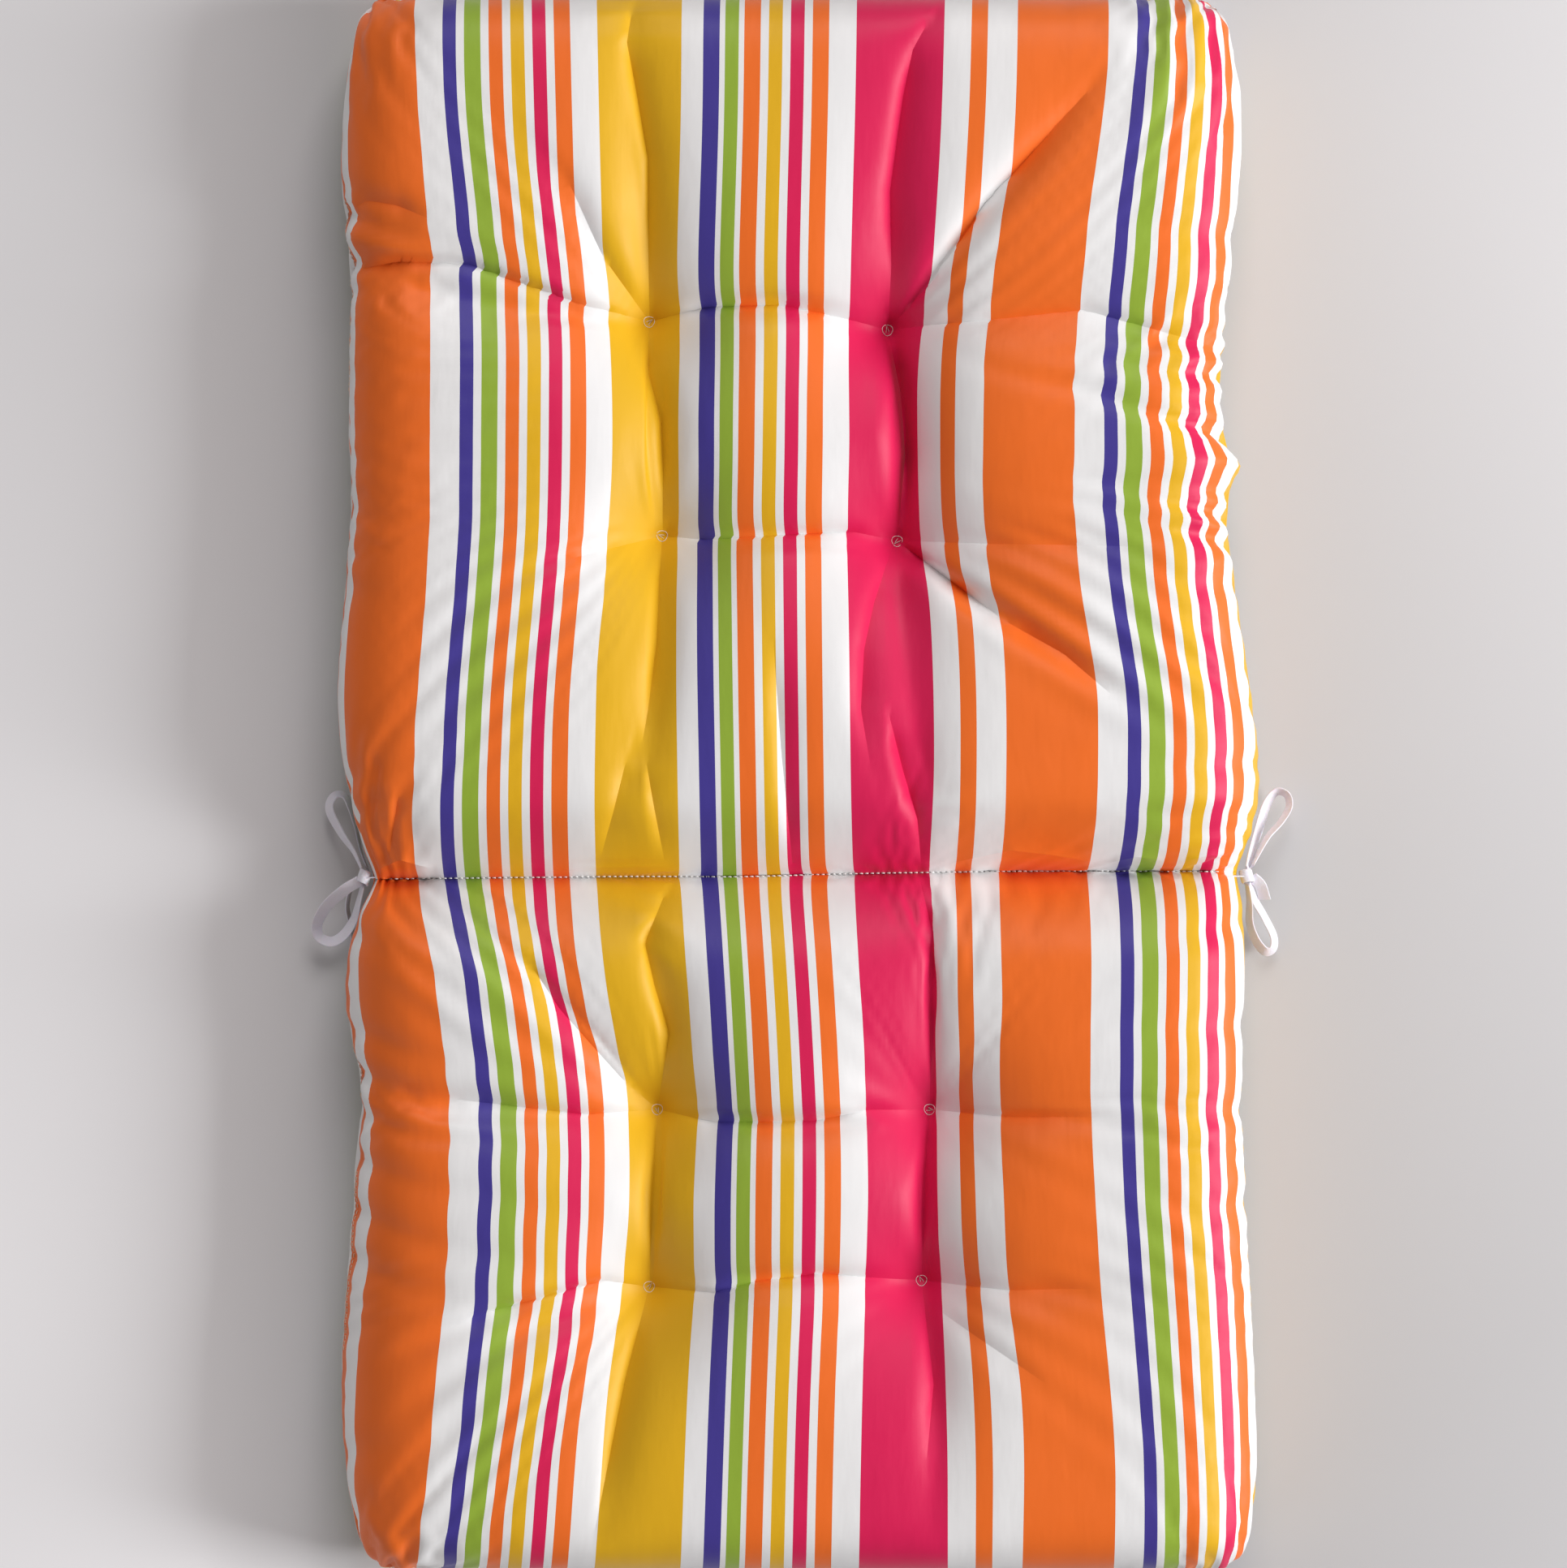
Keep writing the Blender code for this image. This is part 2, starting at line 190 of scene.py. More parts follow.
# %% Lay the floor and hang the lamps
FLOOR_SIZE = 9.0
FLOOR_TINT = (0.99, 0.985, 1.0)
# Painted light and shade on the floor: its tone across, paler far out on the left and darker near the
# cushion, stands in for the lamps' light and the cushion's shadow.
Tone = namedtuple("Tone", "across value")
PAINTED_FLOOR_SHADING = [
    Tone(-0.52, 0.88), Tone(-0.38, 0.93), Tone(-0.30, 0.72), Tone(0.27, 0.60), Tone(0.50, 0.70),
]
# Painted shade towards two corners of the floor and painted light towards the other two; farther out the
# painted light and shade fade to a plain tone.
CORNER_RANGE, PAINTED_CORNER_SHADING = (-0.16, 0.16), (0.88, 1.08)
PAINTED_SHADING_FADE, PLAIN_TONE = (0.62, 1.25), 0.74
COOL, WARM = (0.99, 0.99, 1.0), (1.0, 0.965, 0.955)
WORLD_COLOUR, WORLD_STRENGTH = (1.0, 0.93, 0.92, 1), 0.21
Lamp = namedtuple("Lamp", "name place target size power colour")
LAMPS = [
    Lamp("key_lamp", (4.6, -0.6, 2.45), (0, 0, 0), 2.2, 270, COOL),
    Lamp("top_lamp", (0.6, 3.6, 3.6), (0, 0, 0), 2.4, 92, WARM),
    Lamp("bounce_lamp", (-3.0, -2.4, 1.8), (-0.3, -0.2, 0), 1.8, 14, WARM),
]


def add_lamp(lamp):
    """A square soft lamp that points at its target."""
    data = bpy.data.lights.new(lamp.name, "AREA")
    data.shape = "SQUARE"
    data.size = lamp.size
    data.energy = lamp.power
    data.color = lamp.colour
    hung = linked(lamp.name, data)
    hung.location = lamp.place
    aim = Vector(lamp.target) - Vector(lamp.place)
    hung.rotation_euler = aim.to_track_quat("-Z", "Y").to_euler()


def floor_colour(tone):
    """The colour of the floor at a tone."""
    return (*[tone * channel for channel in FLOOR_TINT], 1)


def paint_floor_shading(tree, shader):
    """Painted light and shade in the floor's colour near the cushion, and a plain floor farther out."""
    spot = object_place(tree)
    place = new_node(tree, "SeparateXYZ", {0: spot}).outputs
    first, last = PAINTED_FLOOR_SHADING[0].across, PAINTED_FLOOR_SHADING[-1].across
    ramp = new_node(tree, "ValToRGB", {"Fac": ranged(tree, place["X"], (first, last))})
    stops = ramp.color_ramp.elements
    for tone in PAINTED_FLOOR_SHADING[1:-1]:
        stops.new((tone.across - first) / (last - first))
    for stop, tone in zip(stops, PAINTED_FLOOR_SHADING):
        stop.color = floor_colour(tone.value)
    # Painted shade towards two corners and painted light towards the other two.
    corner = math_node(tree, "MULTIPLY", place["X"], place["Y"])
    uneven = scaled(tree, ramp.outputs["Color"], ranged(tree, corner, CORNER_RANGE, PAINTED_CORNER_SHADING))
    away = new_node(tree, "VectorMath", {0: spot}, operation="LENGTH").outputs["Value"]
    fade = ranged(tree, away, PAINTED_SHADING_FADE, interpolation_type="SMOOTHSTEP")
    # A mix node takes its colours at inputs 6 and 7 and gives the blend at output 2.
    tones = {0: fade, 6: uneven, 7: floor_colour(PLAIN_TONE)}
    blend = new_node(tree, "Mix", tones, data_type="RGBA")
    set_inputs(tree, shader, {"Base Color": blend.outputs[2]})


def add_floor():
    """A pale floor with painted light and shade near the cushion."""
    mesh = bpy.data.meshes.new("floor")
    half = FLOOR_SIZE / 2
    corners = [(-half, -half, 0), (half, -half, 0), (half, half, 0), (-half, half, 0)]
    mesh.from_pydata(corners, [], [(0, 1, 2, 3)])
    material, tree, shader = new_material("floor_with_painted_shading")
    paint_floor_shading(tree, shader)
    set_inputs(tree, shader, {"Roughness": 0.75, "Specular IOR Level": 0.2})
    mesh.materials.append(material)
    floor = linked("floor", mesh)
    floor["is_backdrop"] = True


def set_world():
    """An even pale surround."""
    world = bpy.data.worlds.new("studio")
    world.use_nodes = True
    background = world.node_tree.nodes["Background"]
    set_inputs(world.node_tree, background, {"Color": WORLD_COLOUR, "Strength": WORLD_STRENGTH})
    bpy.context.scene.world = world


add_floor()
set_world()
for lamp in LAMPS:
    add_lamp(lamp)
bpy.context.scene.view_settings.view_transform = "Standard"
print("lamps:", [lamp.name for lamp in LAMPS])

# %% [markdown]
# ## The striped cloth
# The cloth is woven polyester printed with lengthwise stripes: a wide orange, a wide yellow and a
# wide pink band, with groups of narrow stripes between them, all on white. The stripes are the
# design of the cover, so they are kept as a list of widths, in the order in which they lie.
# The colour is looked up from the place across the cloth, which every point of the cover carries
# in its UV map, in metres. So the stripes bend with each fold, as printed stripes do.

# %% List the stripes
Stripe = namedtuple("Stripe", "colour width")
STRIPES = [
    Stripe("white", 18), Stripe("blue", 8.5), Stripe("white", 5), Stripe("green", 9.5),
    Stripe("white", 5.5), Stripe("orange", 9), Stripe("white", 4.5), Stripe("yellow", 9.5),
    Stripe("white", 4.5), Stripe("pink", 9), Stripe("white", 5), Stripe("orange", 9.5),
    Stripe("white", 18), Stripe("yellow", 52), Stripe("white", 14.5), Stripe("blue", 9),
    Stripe("white", 4.5), Stripe("green", 8.5), Stripe("white", 4), Stripe("orange", 10),
    Stripe("white", 4.5), Stripe("yellow", 9), Stripe("white", 4.5), Stripe("pink", 9.5),
    Stripe("white", 5), Stripe("orange", 9), Stripe("white", 17), Stripe("pink", 54.5),
    Stripe("white", 18.5), Stripe("orange", 9), Stripe("white", 20), Stripe("orange", 58),
]
REPEAT = sum(stripe.width for stripe in STRIPES)
DYES = {
    "white": srgb(240, 240, 240), "orange": srgb(245, 114, 36), "pink": srgb(222, 26, 86),
    "yellow": srgb(232, 180, 26), "blue": srgb(68, 58, 148), "green": srgb(150, 180, 58),
}
print("the stripes repeat every", REPEAT, "mm")

# %% [markdown]
# ## The finish of the cloth
# The real cloth is a smooth, dense weave with a soft sheen: in the light its folds glow, and in
# the shade they go deep. A ramp with hard steps gives the stripes. Two fine waves that cross make
# the weave. One slow noise changes the tint a little and another the gloss, and two stretched
# noises give the slubs and the faint puckers that any filled cover has. All of it is worked out
# from the UV map, so it lies in the cloth.

# %% Mix the cloth
WEAVE_PITCH = 0.7 * MM
FADE_NOISE, FADE_RANGE = Noise(14, 3.0), (0.94, 1.04)
ROUGH_NOISE, ROUGH_RANGE = Noise(60, 2.0), (0.40, 0.52)
PUCKER_NOISE = Noise(38, 3.0, (1.0, 0.35, 1.0))
SLUB_NOISE = Noise(420, 2.0, (1.0, 0.12, 1.0))


def cloth_place(tree, map_name):
    """The place on the flat cloth, in metres, and its across and along."""
    place = new_node(tree, "UVMap", {}, uv_map=map_name).outputs["UV"]
    split = new_node(tree, "SeparateXYZ", {"Vector": place})
    return place, split.outputs["X"], split.outputs["Y"]


def stripe_colour(tree, across):
    """The colour of the stripes at a place across the cloth."""
    share = math_node(tree, "FRACT", math_node(tree, "DIVIDE", across, REPEAT * MM))
    ramp = new_node(tree, "ValToRGB", {"Fac": share})
    ramp.color_ramp.interpolation = "CONSTANT"
    elements = ramp.color_ramp.elements
    elements.remove(elements[-1])
    start = 0.0
    for number, stripe in enumerate(STRIPES):
        element = elements[0] if number == 0 else elements.new(start / REPEAT)
        element.position = start / REPEAT
        element.color = (*DYES[stripe.colour], 1)
        start += stripe.width
    return ramp.outputs["Color"]


def weave_height(tree, across, along, pitch):
    """The height of a plain weave: two sets of threads that cross, over and under in turn."""
    turn = 2 * math.pi / pitch
    warp = math_node(tree, "SINE", math_node(tree, "MULTIPLY", across, turn))
    weft = math_node(tree, "SINE", math_node(tree, "MULTIPLY", along, turn))
    return math_node(tree, "MULTIPLY", warp, weft)


def add_bump(tree, shader, layers):
    """Bumps laid over each other, each an output with its depth in metres and its strength."""
    normal = {}
    for height, depth, strength in layers:
        inputs = {"Height": height, "Distance": depth, "Strength": strength, **normal}
        normal = {"Normal": new_node(tree, "Bump", inputs).outputs["Normal"]}
    set_inputs(tree, shader, normal)


def make_striped_cloth():
    """The printed, softly shining cloth of the cover."""
    material, tree, shader = new_material("striped_cloth")
    place, across, along = cloth_place(tree, "cloth")
    fade = ranged(tree, noise_value(tree, place, FADE_NOISE), (0, 1), FADE_RANGE)
    rough = ranged(tree, noise_value(tree, place, ROUGH_NOISE), (0, 1), ROUGH_RANGE)
    looks = {"Base Color": scaled(tree, stripe_colour(tree, across), fade), "Roughness": rough}
    looks.update({"Specular IOR Level": 0.32, "Sheen Weight": 0.08, "Sheen Roughness": 0.4})
    set_inputs(tree, shader, looks)
    puckers = noise_value(tree, place, PUCKER_NOISE)
    slubs = noise_value(tree, place, SLUB_NOISE)
    weave = weave_height(tree, across, along, WEAVE_PITCH)
    layers = [(puckers, 2.2 * MM, 0.35), (slubs, 0.12 * MM, 0.3), (weave, 0.05 * MM, 0.35)]
    add_bump(tree, shader, layers)
    return material


striped_cloth = make_striped_cloth()
print("cloth mixed with", len(striped_cloth.node_tree.nodes), "nodes")

# %% [markdown]
# ## Where the cover lies
# A cushion can't be copied from a box: its outline is drawn in beside each tuft, and its stripes
# swing towards the tufts. Two short tables hold what was read off the real thing. One gives the
# two sides of the outline, station by station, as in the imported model. The other gives, at
# stations down the cushion, how far across eight marks of the design lie: the edges of the wide
# bands and the middle of two blue stripes.

# %% Read the outline and the swing of the stripes
Section = namedtuple("Section", "along left right")
OUTLINE = [
    Section(487, -279, 262), Section(430, -284, 268), Section(370, -287, 267),
    Section(335, -282, 264), Section(250, -282, 258), Section(215, -282, 260),
    Section(196, -281, 267), Section(175, -281, 263), Section(120, -285, 268),
    Section(50, -289, 278), Section(0, -284, 283), Section(-35, -275, 278),
    Section(-57, -267, 269), Section(-80, -277, 273), Section(-130, -285, 271),
    Section(-188, -275, 270), Section(-260, -280, 273), Section(-390, -287, 278),
    Section(-450, -282, 278), Section(-487, -276, 277),
]
Marks = namedtuple(
    "Marks", "along orange_right blue yellow_left yellow_right pink_left pink_right orange_left blue_2"
)
SWING = [
    Marks(486, -242, -223, -129, -77, 32, 87, 135, 210),
    Marks(410, -237, -219, -126, -80, 34, 84, 135, 208),
    Marks(360, -233, -214, -124, -85, 33, 79, 125, 199),
    Marks(310, -231, -209, -122, -85, 31, 75, 118, 194),
    Marks(287, -230, -208, -120, -81, 30, 72, 113, 191),
    Marks(214, -233, -209, -119, -81, 29, 69, 112, 188),
    Marks(154, -230, -210, -119, -82, 28, 70, 111, 187),
    Marks(103, -234, -216, -122, -85, 29, 77, 122, 195),
    Marks(58, -240, -221, -125, -85, 30, 79, 127, 205),
    Marks(8, -243, -223, -128, -82, 31, 77, 127, 204),
    Marks(-57, -241, -220, -129, -80, 32, 76, 121, 197),
    Marks(-93, -237, -214, -125, -77, 36, 80, 121, 198),
    Marks(-143, -227, -204, -114, -75, 40, 80, 123, 198),
    Marks(-202, -220, -198, -105, -71, 43, 80, 121, 199),
    Marks(-254, -218, -196, -106, -71, 42, 82, 124, 201),
    Marks(-312, -220, -198, -111, -72, 40, 83, 126, 206),
    Marks(-370, -228, -208, -118, -77, 38, 85, 134, 210),
    Marks(-420, -234, -216, -124, -80, 37, 87, 137, 214),
    Marks(-484, -241, -224, -132, -82, 36, 87, 137, 215),
]


def band_start(number):
    """How far across the cloth stripe number starts, in mm, from the first white one."""
    return sum(stripe.width for stripe in STRIPES[:number])


YELLOW_BAND, PINK_BAND, ORANGE_BAND, BLUE_STRIPE = 13, 27, 31, 1
BLUE_MIDDLE = band_start(BLUE_STRIPE) + STRIPES[BLUE_STRIPE].width / 2
MARK_PLACES = [0, BLUE_MIDDLE, band_start(YELLOW_BAND), band_start(YELLOW_BAND + 1)]
MARK_PLACES += [band_start(PINK_BAND), band_start(PINK_BAND + 1), band_start(ORANGE_BAND)]
MARK_PLACES.append(REPEAT + BLUE_MIDDLE)
LEFT_SEAM = -89.0
RIGHT_SEAM = 572.0
COVER_WIDTH = RIGHT_SEAM - LEFT_SEAM
print("marks across the cloth, mm:", MARK_PLACES, "cover width:", COVER_WIDTH)

# %% [markdown]
# ## Tufts and folds
# Each tuft is a few stitches through the whole cushion, pulled tight, so it makes a pit, and
# folds run out from it: to the next tuft, to the sides, and to the corners of its panel. A fold
# is one row: where it goes, how deep it is at both ends, how far it bows, how wide it is, and how
# much it leans over, because most folds have one steep side.

# %% List the tufts and the folds
Tuft = namedtuple("Tuft", "x y")
TUFTS = {
    "left_1": Tuft(-96, 287), "right_1": Tuft(52, 282),
    "left_2": Tuft(-88, 154), "right_2": Tuft(58, 151),
    "left_3": Tuft(-91, -202), "right_3": Tuft(78, -202),
    "left_4": Tuft(-96, -312), "right_4": Tuft(73, -308),
}
Fold = namedtuple("Fold", "start to depth far_depth bow width lean")
MAIN_FOLDS = [
    # across, from tuft to tuft
    Fold("left_1", "right_1", 20, 19, 13, 15, 0.3),
    Fold("left_2", "right_2", 17, 20, 3, 15, 0.2),
    Fold("left_3", "right_3", 18, 17, -7, 15, -0.2),
    Fold("left_4", "right_4", 17, 17, 8, 15, 0.2),
    # across, from a tuft to the side
    Fold("left_1", (-277, 320), 21, 7, 8, 16, 0.3),
    Fold("right_1", (257, 270), 17, 9, 10, 17, 0.2),
    Fold("left_2", (-170, 133), 11, 2, -2, 16, 0),
    Fold("right_2", (215, 146), 17, 5, 0, 15, 0.2),
    Fold("left_3", (-268, -190), 18, 8, 6, 16, 0.2),
    Fold("right_3", (200, -206), 15, 4, -2, 15, 0.1),
    Fold("left_4", (-205, -329), 17, 7, 7, 14, 0.3),
    Fold("right_4", (205, -310), 15, 3, -3, 16, 0),
    # along, from end to end
    Fold("left_1", (-106, 478), 21, 10, 4, 14, -0.3),
    Fold("right_1", (68, 450), 18, 7, 5, 16, 0.2),
    Fold("left_1", "left_2", 18, 16, 5, 15, -0.2),
    Fold("right_1", "right_2", 26, 33, 7, 15, 0.4),
    Fold("left_2", (-98, 20), 17, 11, 4, 13, -0.3),
    Fold("right_2", (76, -5), 20, 7, -3, 15, 0.2),
    Fold("left_3", (-98, -95), 19, 13, -9, 13, -0.3),
    Fold("right_3", (78, -85), 17, 8, -2, 14, 0.3),
    Fold("left_3", "left_4", 15, 15, 0, 14, -0.2),
    Fold("right_3", "right_4", 17, 17, -3, 14, 0.3),
    Fold("left_4", (-126, -465), 17, 8, 0, 15, -0.3),
    Fold("right_4", (78, -455), 19, 6, 6, 15, 0.3),
    # across the corner of a panel
    Fold("right_2", (128, 96), 25, 14, -4, 11, 0.6),
    Fold("right_1", (178, 430), 16, 2, 4, 11, 0.1),
    Fold("left_1", (-146, 373), 11, 6, 3, 13, 0.2),
    Fold("left_3", (-167, -114), 18, 6, -4, 13, -0.3),
]
print(len(TUFTS), "tufts and", len(MAIN_FOLDS), "main folds")

# %% [markdown]
# ## The shape of the filled cover
# Filling pushes the cover out until its sides stand nearly upright, and presses its back flat on
# what it lies on. The height of the front face is a crown that falls to the seam at the sides, the
# ends and the fold, less the pits and folds of the tufts. Lengths here are in mm, as in the tables.

# %% Work out the heights of the cover
LENGTH = 975.0
SEAM_HEIGHT = 45.0
CROWN_HEIGHT = 99.0
PRESSED_DEPTH = 14.0
RISE = CROWN_HEIGHT - SEAM_HEIGHT
SINK = SEAM_HEIGHT + PRESSED_DEPTH
SIDE_RADIUS, SIDE_POWER = 54.0, 2.5
LEFT_BULGE, RIGHT_BULGE, BULGE_REACH = 1.0, 4.0, 75.0
END_RADIUS, END_POWER = 40.0, 2.8
FOLD_Y = -57.0
FOLD_RADIUS, FOLD_POWER = 48.0, 1.35
FOLD_RISE, FOLD_DIP = 10.0, 4.0
CORNER_RADIUS = 24.0
CROWN_FALL = 0.05
TUFT_DEPTH, TUFT_REACH, TUFT_SHARPNESS = 43.0, 25.0, 1.1
BACK_TUFT_DEPTH, BACK_TUFT_REACH = 27.0, 21.0
TUFT_FLAT = 3.0
FOLD_SHARPNESS = 1.3
BLEND_POWER = 3.0


def swell(distance, radius, power):
    """The height of a filled edge: it leaves the seam upright, and is level and 1 a radius in."""
    inward = 1 - np.clip(distance / radius, 0, 1)
    return (1 - inward**power) ** (1 / power)


def smooth_reading(at, places, values):
    """Values read between the rows of a table along one smooth curve. The places rise."""
    places, values = np.asarray(places, float), np.asarray(values, float)
    slopes = np.gradient(values, places)
    left = np.clip(np.searchsorted(places, at) - 1, 0, len(places) - 2)
    span = places[left + 1] - places[left]
    t = np.clip((at - places[left]) / span, 0, 1)
    start = (1 + 2 * t) * (1 - t) ** 2 * values[left] + t * (1 - t) ** 2 * span * slopes[left]
    end = t * t * (3 - 2 * t) * values[left + 1] + t * t * (t - 1) * span * slopes[left + 1]
    return start + end


def corner_inset(along):
    """How far the round corners draw the outline in at a station."""
    past = np.clip(np.abs(along) - (LENGTH / 2 - CORNER_RADIUS), 0, CORNER_RADIUS)
    return CORNER_RADIUS - np.sqrt(CORNER_RADIUS**2 - past**2)


def side_place(along, side, inset=True):
    """Where the left or the right side of the outline lies, with or without its round corners."""
    rows = sorted(OUTLINE)
    across = smooth_reading(along, [row.along for row in rows], [getattr(row, side) for row in rows])
    if not inset:
        return across
    return across + corner_inset(along) * (1 if side == "left" else -1)


def end_and_fold_swell(along):
    """How full the cover is at a station, from its distance to the nearer end and to the fold."""
    end = swell(LENGTH / 2 - np.abs(along), END_RADIUS, END_POWER)
    return end * swell(np.abs(along - FOLD_Y), FOLD_RADIUS, FOLD_POWER)


def fullness(x, y, left, right):
    """How full the cover is at a point: 0 at the seam and 1 in the middle of a part."""
    half = (right - left) / 2
    off_centre = np.abs(x - (left + right) / 2) / half
    side = swell(half * (1 - off_centre), SIDE_RADIUS, SIDE_POWER)
    return side * end_and_fold_swell(y) * (1 - CROWN_FALL * off_centre**2)


def fold_drop(fold, x, y):
    """How deep one fold is at each point."""
    start = np.array(TUFTS.get(fold.start, fold.start), float)
    end = np.array(TUFTS.get(fold.to, fold.to), float)
    chord = end - start
    length = np.hypot(*chord)
    leftward = np.array([-chord[1], chord[0]]) / length
    t = ((x - start[0]) * chord[0] + (y - start[1]) * chord[1]) / length**2
    beyond = np.maximum(0, np.maximum(-t, t - 1)) * length
    t = np.clip(t, 0, 1)
    aside = (x - start[0]) * leftward[0] + (y - start[1]) * leftward[1]
    aside = aside - fold.bow * 4 * t * (1 - t)
    width = fold.width * (1 + fold.lean * np.sign(aside))
    distance = np.hypot(aside, beyond) / width
    depth = fold.depth + (fold.far_depth - fold.depth) * t
    return depth * np.exp(-(distance**FOLD_SHARPNESS))


def tuft_drop(x, y, depth, reach):
    """How deep the tufts draw a face in at each point."""
    drops = []
    for tuft in TUFTS.values():
        distance = np.maximum(np.hypot(x - tuft.x, y - tuft.y) - TUFT_FLAT, 0)
        drops.append(depth * np.exp(-((distance / reach) ** TUFT_SHARPNESS)))
    return np.max(drops, axis=0)


def fold_share(x, y, left, right):
    """How near a point is to the fold: 1 on it, 0 at the seam, and almost 0 two radii away."""
    side = swell(np.minimum(x - left, right - x), SIDE_RADIUS, SIDE_POWER)
    return side * np.exp(-(((y - FOLD_Y) / FOLD_RADIUS) ** 2))


def raised(height, share, lift):
    """A share of a height, drawn up so that it starts from a lift and still ends at the height."""
    return lift + share * (height - lift)


def front_height(x, y, left, right):
    """The height of the front face at each point."""
    drops = [tuft_drop(x, y, TUFT_DEPTH, TUFT_REACH)]
    drops += [fold_drop(fold, x, y) for fold in MAIN_FOLDS]
    drop = np.sum(np.array(drops) ** BLEND_POWER, axis=0) ** (1 / BLEND_POWER)
    full = fullness(x, y, left, right)
    crown_share = full - drop * full / RISE
    lift = FOLD_RISE * fold_share(x, y, left, right)
    return SEAM_HEIGHT + raised(RISE, crown_share, lift)


def back_height(x, y, left, right):
    """The height of the back face at each point, before the floor presses it flat."""
    full = fullness(x, y, left, right)
    drop = tuft_drop(x, y, BACK_TUFT_DEPTH, BACK_TUFT_REACH)
    depth_share = full - drop * full / SINK
    dip = FOLD_DIP * fold_share(x, y, left, right)
    return SEAM_HEIGHT - raised(SINK, depth_share, dip)


print("crown above seam, mm:", RISE)

# %% [markdown]
# ## Threads of the cover
# The cover is a grid that follows the cloth: each line along it is one thread, so its stripes
# stay on it wherever it goes. The grid is closer where the cloth works hardest, at the tufts, the
# seam and the fold. Its rows are found by unrolling the length of the cushion, up over each end
# and down into the fold, as a tape measure would lie on it.

# %% Space the threads
COLUMNS = 114
SEAT_ROWS, BACK_ROWS = 74, 94
ROWS = SEAT_ROWS + BACK_ROWS
UNROLL_STEPS = 4001


def spaced_lines(length, count, focuses):
    """Places from 0 to length, closer together about each focus: its place, strength and reach."""
    fine = np.linspace(0, length, UNROLL_STEPS)
    density = 1 + sum(s * np.exp(-(((fine - place) / reach) ** 2)) for place, s, reach in focuses)
    total = np.concatenate([[0], np.cumsum((density[1:] + density[:-1]) / 2)])
    return np.interp(np.linspace(0, total[-1], count + 1), total, fine)


def unrolled(places, heights):
    """How far along a curve each of its points lies."""
    return np.concatenate([[0], np.cumsum(np.hypot(np.diff(places), np.diff(heights)))])


station = np.linspace(-LENGTH / 2, LENGTH / 2, UNROLL_STEPS)
station_along = unrolled(station, RISE * end_and_fold_swell(station))
cover_length = station_along[-1]
fold_along = np.interp(FOLD_Y, station, station_along)
tuft_along = {name: np.interp(tuft.y, station, station_along) for name, tuft in TUFTS.items()}

seat_focus = [(0, 1.2, 18), (fold_along, 1.6, 22)]
seat_focus += [(tuft_along[name], 0.7, 26) for name in ("left_3", "left_4")]
back_focus = [(0, 1.6, 22), (cover_length - fold_along, 1.2, 18)]
back_focus += [(tuft_along[name] - fold_along, 0.7, 26) for name in ("left_1", "left_2")]
row_along = np.concatenate([
    spaced_lines(fold_along, SEAT_ROWS, seat_focus),
    fold_along + spaced_lines(cover_length - fold_along, BACK_ROWS, back_focus)[1:],
])
row_y = np.interp(row_along, station_along, station)

LEFT_TUFTS_ACROSS, RIGHT_TUFTS_ACROSS = 143.0, 318.0
column_focus = [(0, 0.8, 20), (COVER_WIDTH, 0.8, 20)]
column_focus += [(at - LEFT_SEAM, 0.7, 30) for at in (LEFT_TUFTS_ACROSS, RIGHT_TUFTS_ACROSS)]
column_across = LEFT_SEAM + spaced_lines(COVER_WIDTH, COLUMNS, column_focus)
print("cover, unrolled, mm:", round(cover_length), "long and", COVER_WIDTH, "wide")
print("closest and widest rows, mm:", np.diff(row_along).min().round(1), np.diff(row_along).max().round(1))

# %% [markdown]
# ## Two shapes of one cover
# The cloth solver needs two shapes. The cut shape says how long each thread is: the cover as if
# it were filled with no tufts. It is a little longer than the finished cushion, because a maker
# cuts it with ease, and a little tighter across, which keeps its sides full. The sewn shape says
# where each thread starts: drawn in at the tufts and the fold, with its stripes at the places in
# the table. The spare cloth between the two is what wrinkles.

# %% Lay the cover in its sewn and its cut shape
SIDE_SAMPLES = 60
INSET_REACH = 45.0
FOLD_SWAY = [(-270, -2.4), (-180, -0.8), (-45, -0.4), (40, 1.4), (110, 2.8), (270, 2.8)]
SWAY_REACH = 60.0
CUT_EASE_ALONG, CUT_EASE_ACROSS = 1.03, 0.97
SOFTENING_PASSES = 3


def side_run(start, end):
    """The way up one side: places from the seam inward, and how far along the cloth each lies."""
    x = np.linspace(start, end, SIDE_SAMPLES)
    return x, unrolled(x, RISE * swell(np.abs(x - start), SIDE_RADIUS, SIDE_POWER))


def row_places(y):
    """Where each column of one row lies across, from the outline and the swing of the stripes."""
    stations = sorted(SWING)
    along = [row.along for row in stations]
    marks = [smooth_reading(y, along, [row[1 + n] for row in stations]) for n in range(len(MARK_PLACES))]
    left_x, left_run = side_run(side_place(y, "left", inset=False), marks[0])
    right_x, right_run = side_run(side_place(y, "right", inset=False), marks[-1])
    x = np.interp(column_across, MARK_PLACES, marks)
    on_left = column_across < MARK_PLACES[0]
    share = (column_across - LEFT_SEAM) / (MARK_PLACES[0] - LEFT_SEAM)
    x[on_left] = np.interp(share[on_left] * left_run[-1], left_run, left_x)
    on_right = column_across > MARK_PLACES[-1]
    share = (RIGHT_SEAM - column_across) / (RIGHT_SEAM - MARK_PLACES[-1])
    x[on_right] = np.interp(share[on_right] * right_run[-1], right_run, right_x)
    inset = corner_inset(y)
    x += inset * np.exp(-(((column_across - LEFT_SEAM) / INSET_REACH) ** 2))
    x -= inset * np.exp(-(((RIGHT_SEAM - column_across) / INSET_REACH) ** 2))
    return x


